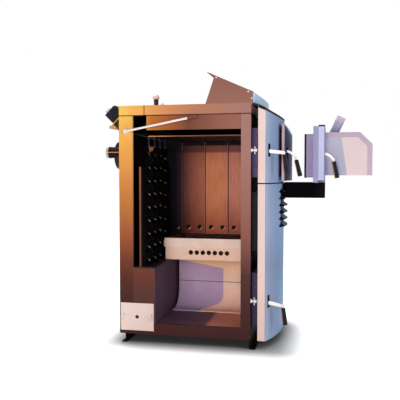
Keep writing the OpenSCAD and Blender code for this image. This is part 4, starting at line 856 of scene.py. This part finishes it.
def capNut(flats, h):
    r = flats * 0.46
    dome = [(r * cos(k * pi / 12), h * 0.5 + r * 0.9 * sin(k * pi / 12)) for k in range(7)]
    return joined(washer(flats * 0.75, 2, 1.0), moved(hexHead(flats, h * 0.5), (0, 0, 0.9)),
                  lathe([(0, h * 0.4), (r, h * 0.4)] + dome, 24))


def wingNut(reach, h, thick):
    outline = []
    for x, y in around(40):
        swell = 6 + (reach - 6) * abs(x) ** 2.2
        outline.append((swell * x, swell * y * 0.8))
    wings = moved(prism(outline, thick), (0, thick / 2, h * 0.62), "Y")
    wings.transform(shift((0, 0, h * 0.25)) @ turn(180, "X") @ shift((0, 0, -h)))
    hub = lathe([(0, 0), (6.2, 0), (5.4, h * 0.55), (3.4, h * 0.62), (3.2, h * 0.9), (0, h * 0.95)], 24)
    return joined(hub, eased(wings, 0.5))


# latch levers: pivot, tip from the pivot, tilt of the grip, body
latchLevers = {"upper_lever": ((722, 27, 928), (103.2, -12.7), 8, "upper_latch"),
               "lower_lever": ((722, 27, 192), (104.1, -20.2), 7, "lower_latch"),
               "blind_lever": ((820, 165, 928), (54.8, -35.6), 14, "boiler"),
               "burner_lever": ((1008, 165, 914), (50.7, -29.9), 12, "burner_latch")}
arms = {"levers": ("upper_lever", "lower_lever"), "start": 36, "root": 19.5, "tip": 16,
        "thick": 8.6, "round": 2.4, "past": 3,
        "ends": ((0, 0.8), (0.02, 1), (0.5, 1), (0.97, 1), (1, 0.7))}


def makeArms():  # formed bars of the straight latch levers
    for name in arms["levers"]:
        pivot, (reach, drop), _, body = latchLevers[name]
        start, run = arms["start"], hypot(reach, drop) + arms["past"] - arms["start"]
        rings = []
        for part, scale in arms["ends"]:
            tall = (arms["root"] + (arms["tip"] - arms["root"]) * part) * scale
            outline = roundedBox(tall, arms["thick"] * (0.9 + scale / 10), arms["round"])
            rings.append([(x, y, start + run * part) for x, y in outline])
        bar = moved(loft(rings), (0, 0, 0), "X")
        bar.transform(shift(pivot) @ Matrix.Rotation(atan2(-drop, reach), 4, "Y"))
        piece(name.replace("lever", "arm"), bar, "bright", body)
    print("latch arms")


grips = {"start": 10.6, "length": 82.6, "neck": 6.4, "top": 10.5, "foot": 12.0, "round": 0.55,
         "rings": 9, "rivet": 9, "nut": 11, "half": 4.6}


def gripRing(half, level):
    outline = roundedBox(2 * half, 2 * half, half * grips["round"], 5)
    return [(x, y, level) for x, y in outline]


def makeGrips():
    start, top, foot = grips["start"], grips["top"], grips["foot"]
    end = start + grips["length"]
    for name, (pivot, (reach, drop), tilt, body) in latchLevers.items():
        rings = [gripRing(grips["neck"], start - 1.2), gripRing(top - 1.2, start - 0.8),
                 gripRing(top, start + 1.2)]
        for k in range(1, grips["rings"]):
            part = k / (grips["rings"] - 1)
            level = start + 1.2 + (grips["length"] - 5) * part
            rings.append(gripRing(top + (foot - top) * part ** 1.6, level))
        rings += [gripRing(foot - 1.0, end - 1.2), gripRing(foot - 4.5, end + 0.6)]
        tip = Vector(pivot) + Vector((reach, 0, drop))
        sleeve = placed(loft(rings), shift(tip) @ turn(180 - tilt, "Y"))
        piece(name.replace("lever", "grip"), sleeve, "grip", body)
        side = Vector((0, grips["half"], 0))
        rivets = joined(moved(capNut(grips["nut"], 5), tip - side, "-Y"),
                        moved(domeScrew(grips["rivet"], 3), tip + side, "Y"))
        piece(name.replace("lever", "rivets"), rivets, "bright", body)
    print("latch grips")


catches = {"y": 12, "levels": (192, 928), "r": 5, "reach": 31, "pin": (18, 2.8, 19), "nut": 16,
           "eye": 5.5}
doorScrews = {"fore": 22, "lower": (120, 260), "upper": (850, 1000)}


def makeCatches():
    r, reach, nut, eye = catches["r"], catches["reach"], catches["nut"], catches["eye"]
    out, thin, tall = catches["pin"]
    parts = []
    for level in catches["levels"]:
        foot = Vector((length, catches["y"], level))
        stud = joined(rod(r, reach, 1, 24), moved(thread(r, 1.6, reach - 3, 0.45), (0, 0, 1)),
                      moved(bolt(nut, 6, r=3), (0, 0, 0.4)), moved(hexHead(nut, 5), (0, 0, reach - 7)),
                      moved(washer(9.5, 4, 1.6), (0, 0, reach - 9)))
        parts.append(moved(stud, foot, "X"))
        pin = lathe([(0, -tall), (thin - 0.8, -tall), (thin, 1 - tall), (thin, tall - 1),
                     (thin - 0.8, tall), (0, tall)], 20)
        ring = lathe([(thin + eye - 1, -4), (thin + eye, -3), (thin + eye, 3), (thin + eye - 1, 4),
                      (0, 4), (0, -4), (thin + eye - 1, -4)])
        parts += [moved(pin, foot + Vector((out, 0, 0))), moved(ring, foot + Vector((out, 0, 0)))]
    piece("catch_bolts", joined(*parts), "bright", "boiler", ["catch_studs"])
    edge = corners("lower_door")[0].y
    heads = {door: [moved(domeScrew(9, 3.4), (length + doorScrews["fore"], edge, z), "-Y")
                    for z in doorScrews[door]] for door in ("lower", "upper")}
    piece("door_edge_screws", joined(*heads["lower"]), "screw", "lower_door_set")
    piece("upper_door_edge_screws", joined(*heads["upper"]), "screw", "boiler")
    print("catches")


ropes = {"wide": 12, "thick": 3.2, "out": 1.8, "strands": 6, "twist": 0.55, "ripple": 0.1,
         "pitch": 3.2, "round": 12, "inset": {"lower_door": 7, "upper_door": 15}}


def rope(outline, x, wide, thick):  # a flattened braid laid round an outline in Y and Z
    path = [(x, y, z) for y, z in evenly(outline, ropes["pitch"])]

    def section(k):
        points = []
        for j in range(14):
            a = 2 * pi * j / 14
            swell = 1 + ropes["ripple"] * cos(ropes["strands"] / 2 * (a + k * ropes["twist"]))
            points.append((wide / 2 * cos(a) * swell, thick / 2 * sin(a) * swell))
        return points
    return sweep(path, section, True, (1, 0, 0))


def ringAround(y, z, w, h, r):  # a rounded outline about a place in Y and Z
    return [(y + u, z + v) for u, v in roundedBox(w, h, r)]


def makeSeals():
    low, high = corners("door_seals")
    parts = []
    for door, inset in ropes["inset"].items():
        bottom, top = corners(door)[0].z + inset, corners(door)[1].z - inset
        outline = ringAround((low.y + high.y) / 2, (bottom + top) / 2,
                             high.y - low.y - ropes["wide"], top - bottom, ropes["round"])
        parts.append(rope(outline, length + ropes["out"], ropes["wide"], ropes["thick"]))
    piece("door_rope_seals", joined(*parts), "rope", "boiler", ["door_seals"])
    print("rope seals")


lever = {"pivot": (40, -18, 1026), "tilt": -10.5, "bare": 324, "grip": 50.5, "r": 7.4, "ribs": 5,
         "rib": 7.5, "screw": 9.9}


def makeCleaningLever():
    r, reach, bare = lever["r"], lever["grip"], lever["bare"]
    profile = [(0, 0), (6.2, 0), (r, 1.2)]
    for k in range(lever["ribs"]):
        z = 6 + k * lever["rib"]
        profile += [(r, z), (r - 0.25, z + 0.8), (r - 0.25, z + 2.2), (r, z + 3)]
    dome = [(r * cos(a), reach - 5 + 5 * sin(a)) for a in (0, pi / 8, pi / 4, 3 * pi / 8)]
    lean = shift(lever["pivot"]) @ turn(lever["tilt"], "Y")
    sleeve = placed(moved(lathe(profile + dome + [(0, reach)]), (bare, 0, 0), "X"), lean)
    piece("cleaning_lever_grip", sleeve, "sleeve", "cleaning_gear")
    collar = lathe([(5.6, 0), (7, 0.6), (7, 5), (5.6, 5.6), (5.6, 0)])
    ring = placed(moved(collar, (bare - 6, 0, 0), "X"), lean)
    x, y, z = lever["pivot"]
    screw = moved(domeScrew(6, 2), (x, y - lever["screw"], z), "-Y")
    piece("cleaning_lever_fittings", joined(ring, screw), "bright", "cleaning_gear")
    bush = lathe([(7.1, 0), (13, 0), (13, 1.6), (11, 2.4), (7.1, 2.4), (7.1, 0)])
    piece("shaft_bush", moved(bush, (x, 0, z), "-Y"), "bright", "boiler")
    print("cleaning lever")


cleanout = {"face": -3.0, "wings": 73, "studs": 37, "reach": 15.5, "tall": 10, "thick": 3.2,
            "skew": 14, "peep": (10.2, 12.6)}


def makeCleanout():
    low, high = corners("cleanout_cover")
    middle = Vector(((low.x + high.x) / 2, cleanout["face"], (low.z + high.z) / 2))
    parts = []
    for side in (-1, 1):
        nut = wingNut(cleanout["reach"], cleanout["tall"], cleanout["thick"])
        seat = middle + Vector((side * cleanout["wings"], 0, 0))
        parts.append(moved(nut, seat, "-Y", 90 + side * cleanout["skew"]))
        seat = middle + Vector((side * cleanout["studs"], 0, 0))
        parts.append(moved(capNut(10, 5), seat, "-Y", 12))
    inner, outer = cleanout["peep"]
    rim = lathe([(inner, 0), (outer, 0), (outer - 0.4, 1.1), (inner, 1.4), (inner, 0)])
    parts.append(moved(rim, middle, "-Y"))
    piece("cleanout_nuts", joined(*parts), "bright", "boiler")
    print("clean-out nuts")


fan = {"x": -92, "down": 50, "lean": -45, "side": 78, "core": 70, "body": 66, "neck": 12, "plate": 4,
       "fins": 6, "fin": 4.5, "cap": 56, "capThick": 4, "capBolts": 22.5, "box": 34, "boxTall": 14,
       "shift": 12, "screws": 31, "plateBolts": (54, 66)}


def makeFan():
    base = shift((fan["x"], width / 2, height - fan["down"])) @ turn(fan["lean"], "Y")
    plate, body, side, box, aside = (fan[k] for k in ("plate", "body", "side", "box", "shift"))
    quarters = [(sx, sy) for sx in (-1, 1) for sy in (-1, 1)]
    z = plate + fan["neck"]
    neck = lathe([(0, plate), (25, plate), (25, plate + 3), (21, plate + 5), (21, z), (0, z)])
    parts = [neck, moved(slab(fan["core"], fan["core"], 12, body, 1), (0, 0, z))]
    pitch = (body - fan["fin"]) / (fan["fins"] - 1)
    for k in range(fan["fins"]):
        parts.append(moved(slab(side, side, 9, fan["fin"], 0.9), (0, 0, z + k * pitch)))
    for sx, sy in quarters:
        tie = lathe([(0, 0), (3.4, 0), (3.4, body - 1), (0, body - 1)], 16)
        parts.append(moved(tie, (sx * fan["screws"], sy * fan["screws"], z)))
    piece("fan_motor_housing", placed(joined(*parts), base), "motor", "boiler",
          ["fan_motor"])
    top = z + body
    foot = top + fan["capThick"]
    parts = [moved(slab(fan["cap"], fan["cap"], 5, fan["capThick"], 0.8), (0, 0, top - 0.2))]
    for sx, sy in quarters:
        place = (sx * fan["capBolts"], sy * fan["capBolts"], foot - 0.2)
        parts.append(moved(bolt(7, 1.6), place))
    tray = slab(box - 2, box - 2, 3.5, fan["boxTall"] - 4, 0.6)
    parts.append(moved(tray, (-aside, 0, foot - 0.3)))
    parts.append(moved(slab(box, box, 4, 5, 0.8), (-aside, 0, foot + fan["boxTall"] - 5)))
    gland = lathe([(0, 0), (6, 0), (6, 3), (5, 4), (5, 7), (3, 8), (0, 8)], 20)
    parts.append(moved(gland, (-aside + 6, box / 2 - 1, foot + 6), "Y"))
    piece("fan_motor_ends", placed(joined(*parts), base), "motorCap", "boiler")
    dx, dy = fan["plateBolts"]
    heads = [moved(bolt(11, 5, 4, 3), (sx * dx, sy * dy, plate)) for sx in (-1, 1) for sy in (-1, 0, 1)]
    piece("fan_plate_bolts", placed(joined(*heads), base), "gold", "boiler")
    print("fan")


pipes = {"places": ((100, 925), (300, 140)), "reach": 100, "r": 30, "wall": 4, "thread": 24,
         "pitch": 2.3}
flue = {"z": 915, "box": 58, "r": 75, "beads": (14, 38)}
boxBolts = {"side": 112, "levels": (24, 100, 176), "inner": 60}


def weld(path, r, up):  # a scalloped bead
    def section(k):
        return around(8, r * (0.8 + 0.2 * abs(sin(k * pi / 4))))
    return sweep(path, section, True, up)


def circle(place, r, steps):  # round the X axis
    x, y, z = place
    return [(x, y + u, z + v) for u, v in around(steps, r)]


def makePipes():
    r, reach, wall, cut = (pipes[k] for k in ("r", "reach", "wall", "thread"))
    profile = [(r - 1, 0), (r - 1, reach - cut), (r - 0.6, reach - cut + 1), (r - 0.6, reach - 2),
               (r - 2, reach), (r - wall, reach), (r - wall, 4), (0, 4), (0, 0), (r - 1, 0)]
    tubes, beads = [], []
    for y, z in pipes["places"]:
        winding = thread(r - 0.6, pipes["pitch"], cut - 5, 0.6, 48)
        tube = joined(lathe(profile, 56), moved(winding, (0, 0, reach - cut + 2)))
        tubes.append(moved(tube, (0, y, z), "-X"))
        beads.append(weld(circle((-1.5, y, z), r + 0.5, 120), 2.6, (1, 0, 0)))
    piece("threaded_pipes", joined(*tubes), "pipe", "boiler", ["water_pipes"])
    piece("pipe_welds", joined(*beads), "rear", "boiler")
    print("water pipes")


def makeFlue():
    out, r, mid = -flue["box"], flue["r"], width / 2
    rings = [weld(circle((out - 1.5, mid, flue["z"]), r + 0.5, 220), 2.8, (1, 0, 0))]
    for step in flue["beads"]:
        bead = lathe([(r - 0.5, -3), (r + 0.8, -2), (r + 1.6, 0), (r + 0.8, 2), (r - 0.5, 3),
                      (r - 0.5, -3)], 96)
        rings.append(moved(bead, (out - step, mid, flue["z"]), "-X"))
    piece("flue_beads", joined(*rings), "rear", "boiler")
    low = corners("smoke_box")[0]
    lowest = boxBolts["levels"][0]
    heads = []
    for side in (-1, 1):
        places = [(boxBolts["side"], level) for level in boxBolts["levels"]]
        for y, z in places + [(boxBolts["inner"], lowest)]:
            heads.append(moved(bolt(12, 6, 4, 3.4), (out, mid + side * y, low.z + z), "-X"))
    piece("smoke_box_bolts", joined(*heads), "bright", "boiler")
    print("flue and smoke box")


control = {"fore": 681, "foreZ": 1205, "slope": 24, "back": 112, "lift": 3, "seat": 1.5,
           "screws": ((499, 1281), (656, 1209), (674, 1177)), "panel": (150, 92, 1.6),
           "display": (74, 40, 1.2, -14, -22), "knob": (17, 15, -4, 46), "ridges": 18,
           "button": (5.5, 2.6, 28), "buttons": (-48, -30, -12, 6)}


def makeControl():
    heads = [moved(domeScrew(8.5, 2.4), (x, 0, z), "-Y") for x, z in control["screws"]]
    piece("control_box_screws", joined(*heads), "bright", "boiler")
    slope = shift((control["fore"], width / 2, control["foreZ"])) @ turn(control["slope"], "Y") \
        @ shift((-control["back"], 0, control["lift"]))
    seat = control["seat"]
    w, d, thick = control["panel"]
    piece("control_panel", placed(slab(d, w, 6, thick, 0.5), slope), "black", "boiler")
    w, d, thick, x, y = control["display"]
    window = moved(slab(d, w, 3, thick, 0.4), (x, y, seat))
    piece("display_window", placed(window, slope), "glass", "boiler")
    r, tall, x, y = control["knob"]
    count = control["ridges"] * 6
    ribbed = [r + 0.7 * cos(control["ridges"] * 2 * pi * k / count) for k in range(count)]
    rings = []
    for scale, z in ((1.0, 0), (1.0, tall * 0.75), (0.93, tall * 0.93), (0.8, tall)):
        rings.append([(q * scale * u, q * scale * v, z) for q, (u, v) in zip(ribbed, around(count))])
    knobs = [moved(loft(rings), (x, y, seat))]
    r, tall, x = control["button"]
    for y in control["buttons"]:
        button = lathe([(0, 0), (r, 0), (r, tall * 0.7), (r * 0.8, tall), (0, tall * 0.9)], 24)
        knobs.append(moved(button, (x, y, seat)))
    piece("control_knobs", placed(joined(*knobs), slope), "motorCap", "boiler")
    print("control box")


vent = {"x": 107, "r": 13, "tall": 66, "cap": 18, "ribs": 24, "knurl": 0.035,
        "steps": ((0.86, 0), (0.97, 1.2), (0.97, 15), (0.9, 17), (0.72, 20), (0.68, 23), (0.4, 24))}
plug = {"place": (194, 120), "r": 15, "tall": 22}


def makeTopFittings():
    r, tall, place = vent["r"], vent["tall"], (vent["x"], width / 2, height)
    pipe = joined(lathe([(0, 0), (r + 4, 0), (r + 4, 2), (r, 5), (r, tall + 1), (0, tall + 1)]),
                  moved(thread(r - 0.2, 2, 14, 0.5, 32), (0, 0, tall - 15)))
    piece("vent_pipe", moved(pipe, place), "vent", "boiler", ["top_fittings"])
    count = vent["ribs"] * 6
    knurl = [1 + vent["knurl"] * cos(vent["ribs"] * 2 * pi * k / count) for k in range(count)]
    rings = []
    for scale, z in vent["steps"]:
        reach = [vent["cap"] * scale * (q if scale > 0.9 else 1) for q in knurl]
        rings.append([(q * u, q * v, z) for q, (u, v) in zip(reach, around(count))])
    cap = moved(loft(rings), (vent["x"], width / 2, height + tall))
    piece("vent_cap", cap, "cap", "boiler")
    tall = plug["tall"]
    stem = lathe([(0, 8), (9, 8), (9, 15), (7, 17), (7, tall - 1), (5, tall), (0, tall)])
    whole = joined(washer(plug["r"], 3, 2), moved(hexHead(22, 9), (0, 0, 2)), stem,
                   moved(thread(8.8, 1.6, 6, 0.4), (0, 0, 9)))
    piece("sensor_plug", moved(whole, (*plug["place"], height)), "cap", "boiler")
    print("top fittings")


trim = {"flange": 39, "edge": (5.0, 11.0), "inset": 1.6, "seat": 1.2, "slope": 24, "steps": 48,
        "strip": (2.0, 11.0), "behind": 4.2, "ends": (37, 2)}


def coverOutline(inset):  # along the side flange and across the bow of a cover
    crest = corners("upper_cover")[1].x
    path = [(crest - bowRise - back, inset) for back in trim["ends"]]
    near, far = inset + 0.2, width - inset - 0.2
    for k in range(trim["steps"] + 1):
        y = near + (far - near) * k / trim["steps"]
        x = crest - bowRadius + sqrt((bowRadius - inset) ** 2 - (y - width / 2) ** 2)
        path.append((x, y))
    return path


def makeCoverTrim():
    low, high = corners("upper_cover")
    fall = tan(radians(trim["slope"]))
    start = high.x - bowRise - trim["flange"]
    crest = [(x, y, high.z - trim["seat"] - (x - start) * fall) for x, y in coverOutline(trim["inset"])]
    edge = sweep(crest, roundedBox(*trim["edge"], 1.2, 3))
    piece("upper_cover_edge", edge, "black", "boiler")
    seam = (low.z + corners("lower_cover")[1].z) / 2
    between = [(x, y, seam) for x, y in coverOutline(trim["behind"])]
    strip = sweep(between, roundedBox(*trim["strip"], 0.6, 2))
    piece("cover_seam_strip", strip, "black", "boiler")
    print("cover trim")


# places round the slots of the latch levers, and how far each turns with its cover
bezels = {"slot": (13.6, 59.6), "section": (4.4, 3.2), "round": 3.0, "sunk": 0.8,
          "places": {"upper_cover": (754.9, 27, 928, 20.8), "lower_cover": (754.9, 27, 192, 20.8),
                     "blind_cover": (831.0, 165, 914, 14.3)}}


def makeBezels():
    wide, tall = bezels["slot"]
    across, thick = bezels["section"]
    section = [(-across / 2, 0), (across / 2, 0), (across / 2, thick), (-across / 2, thick)]
    for node, (x, y, z, angle) in bezels["places"].items():
        path = [(u, v, 0) for u, v in roundedBox(tall, wide, bezels["round"])]
        bezel = moved(eased(sweep(path, section, True), 0.4), (-bezels["sunk"], 0, 0), "X")
        bezel.transform(shift((x, y, z)) @ turn(-angle, "Z"))
        piece(node.replace("cover", "bezel"), bezel, "black", "boiler")
    print("lever bezels")


plugs = {"seal": (9, 9), "in": 5, "round": 6, "sheet": 2.4, "proud": 1.5, "bands": (7.6, 6),
         "blindSeal": (9, 8), "blindOut": 4, "blindInset": 52, "blindRound": 8}


def makePlugs():
    low, high = corners("burner_plug")
    middle, size = (low + high) / 2, high - low
    outline = ringAround(middle.y, middle.z, size.y - 2, size.z - 2, plugs["round"])
    seal = rope(outline, low.x + plugs["in"], *plugs["seal"])
    piece("burner_plug_seal", seal, "rope", "lower_door_set")
    sheets = []
    for z in (low.z, high.z):
        sheet = slab(size.x, size.y + plugs["proud"], 1.2, plugs["sheet"], 0.4)
        sheets.append(moved(sheet, (middle.x, middle.y, z - plugs["sheet"] / 2)))
    piece("burner_plug_sheets", joined(*sheets), "black", "lower_door_set")
    low, high = corners("burner_cover")
    middle, size = (low + high) / 2, high - low
    bands = []
    for z, tall in zip((high.z - 7, low.z - 0.6), plugs["bands"]):
        band = slab(size.x + 1.0, size.y + 1.6, 1.4, tall, 0.5)
        bands.append(moved(band, (middle.x - 0.5, middle.y, z)))
    piece("burner_cover_strips", joined(*bands), "black", "lower_door_set")
    low, high = corners("blind_plate")
    middle, size, inset = (low + high) / 2, high - low, plugs["blindInset"]
    outline = ringAround(middle.y, middle.z, size.y - inset, size.z - inset, plugs["blindRound"])
    seal = rope(outline, low.x - plugs["blindOut"], *plugs["blindSeal"])
    piece("blind_plug_seal", seal, "rope", "boiler")
    print("plugs")


burner = {"screws": ((1034, 827), (1189, 827)), "tilt": 25, "tube": (42, 22.5, 92), "clamp": 34}


def makeBurner():
    low, high = corners("burner_casing")
    heads = []
    for x, z in burner["screws"]:
        for y, facing in ((low.y, "-Y"), (high.y, "Y")):
            heads.append(moved(domeScrew(7, 2), (x, y, z), facing))
    piece("burner_casing_screws", joined(*heads), "bright", "lower_door_set")
    out, r, reach = burner["tube"]
    bead = lathe([(r - 2, -1.6), (r + 1.2, -1.6), (r + 1.7, 0), (r + 1.2, 1.2), (r - 2, 1.2),
                  (r - 2, -1.6)], 48)
    clamp = lathe([(r, 0), (r + 1.2, 0.4), (r + 1.2, 9), (r, 9.4), (r, 0)], 48)
    fittings = joined(moved(bead, (0, 0, reach - 1.4)), moved(clamp, (0, 0, reach - burner["clamp"])))
    lean = shift((low.x + out, (low.y + high.y) / 2, high.z)) @ turn(burner["tilt"], "Y")
    piece("feed_tube_bead", placed(fittings, lean), "tube", "lower_door_set")
    print("burner")


hinges = {"x": 702, "y": 585, "lowest": 78, "highest": 26}


def makeHinges():
    caps = []
    for door in ("lower_door", "upper_door"):
        foot, top = corners(door)
        for z in (foot.z + hinges["lowest"], top.z - hinges["highest"]):
            cap = lathe([(0, 0), (9, 0), (9, 2), (6, 4.6), (0, 5)], 24)
            caps.append(moved(cap, (hinges["x"], hinges["y"], z)))
    piece("hinge_pin_caps", joined(*caps), "bright", "boiler")
    print("hinges")


def makeSleeves():  # pressed rings in the air holes of the lining
    low = corners("lining")[0]
    inner, outer, proud = airHoles["inner"], airHoles["outer"], airHoles["proud"]
    rings = []
    for k in range(airHoles["count"]):
        ring = lathe([(inner, 0), (inner + 0.5, -proud), (outer, -proud), (outer + 1.4, -0.2),
                      (outer - 0.9, -0.1), (outer - 0.9, 6), (inner, 6), (inner, 0)], 36)
        x = airHoles["first"] + k * airHoles["pitch"]
        rings.append(moved(ring, (x, low.y, low.z + airHoles["up"]), "Y"))
    piece("air_hole_sleeves", joined(*rings), "sleeveRing", "boiler")
    print("air hole sleeves")


for make in (makeArms, makeGrips, makeCatches, makeSeals, makeCleaningLever, makeCleanout, makeFan,
             makePipes, makeFlue, makeControl, makeTopFittings, makeCoverTrim, makeBezels, makePlugs,
             makeBurner, makeHinges, makeSleeves):
    make()


studio = {"size": 60.0, "tone": "#f4f3f3", "lift": 0.02, "shadow": (0.0, 0.2), "under": 0.04,
          "contact": 0.3, "ambient": 0.15, "aim": (0, 0, 0.6),
          "lamps": {"key": ((-0.2, -4.4, 1.0), 2.4, 113), "fill": ((4.2, -2.4, 1.6), 2.4, 74),
                    "top": ((-0.8, 0.8, 4.4), 1.4, 165)}}  # place, size in m, power in W


def paleFloor(name):  # white where no shadow falls, and white to its horizon
    f = Finish(name, Roughness=0.9, Specular_IOR_Level=0.0, Emission_Strength=1.0)
    rear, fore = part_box("runners")[0].x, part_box("lower_cover")[1].x - studio["under"]
    pastX = (abs(f.x - (rear + fore) / 2) - (fore - rear) / 2).atLeast(0.0)
    pastY = (abs(f.y - (openY + closedY) / 2) - (closedY - openY) / 2).atLeast(0.0)
    away = (pastX * pastX + pastY * pastY) ** 0.5
    glow = studio["lift"] + (1 - studio["lift"]) * f.step(away, *studio["shadow"])
    # painted contact shadow: the floor darkens where ambient occlusion finds the boiler close by
    sky = f.add("ShaderNodeAmbientOcclusion", {"samples": 8}, {"Distance": studio["contact"]}, 1)
    return f.set(Base_Color=f.mix(f.step(sky, 0.05, 0.85), "#0c0c0c", studio["tone"]),
                 Emission_Color=f.mix(f.background() * glow, "#000000", "#ffffff"))


def makeFloor():
    half = studio["size"] / 2
    mesh = bpy.data.meshes.new("studio floor")
    square = [(-half, -half, 0), (half, -half, 0), (half, half, 0), (-half, half, 0)]
    mesh.from_pydata(square, [], [(0, 1, 2, 3)])
    mesh.materials.append(paleFloor("studio floor"))
    floor = bpy.data.objects.new("studio floor", mesh)
    bpy.context.scene.collection.objects.link(floor)


def makeWorld():  # soft light, and white where it is looked at
    world = bpy.data.worlds.new("studio")
    bpy.context.scene.world = world
    air = NodeSet(world)
    soft, white = (air.add("ShaderNodeBackground", {}, {"Color": "#ffffff", "Strength": strength})
                   for strength in (studio["ambient"], 1.0))
    both = air.add("ShaderNodeMixShader", {}, {0: air.background(), 1: soft, 2: white})
    air.add("ShaderNodeOutputWorld", {}, {"Surface": both})


def makeLamps():
    for name, (place, size, power) in studio["lamps"].items():
        lamp = bpy.data.lights.new(name + " light", "AREA")
        lamp.size, lamp.energy = size, power
        light = bpy.data.objects.new(name + " light", lamp)
        light.location = place
        aim = Vector(studio["aim"]) - light.location
        light.rotation_euler = aim.to_track_quat("-Z", "Y").to_euler()
        bpy.context.scene.collection.objects.link(light)


# in m from the corner, and in degrees
camera = {"place": (1.0484, -2.8760, 0.8170), "yaw": 12.34, "pitch": -2.57, "lens": 53.85}


def makeCamera():
    eye = bpy.data.cameras.new("front camera")
    eye.lens, eye.sensor_width = camera["lens"], 36
    seat = bpy.data.objects.new("front camera", eye)
    seat.location = corner + Vector(camera["place"])
    seat.rotation_euler = (radians(90 + camera["pitch"]), 0, radians(camera["yaw"]))
    bpy.context.scene.collection.objects.link(seat)
    bpy.context.scene.camera = seat
    bpy.context.scene.view_settings.view_transform = "Standard"


makeFloor()
makeWorld()
makeLamps()
makeCamera()
print("stage and camera")
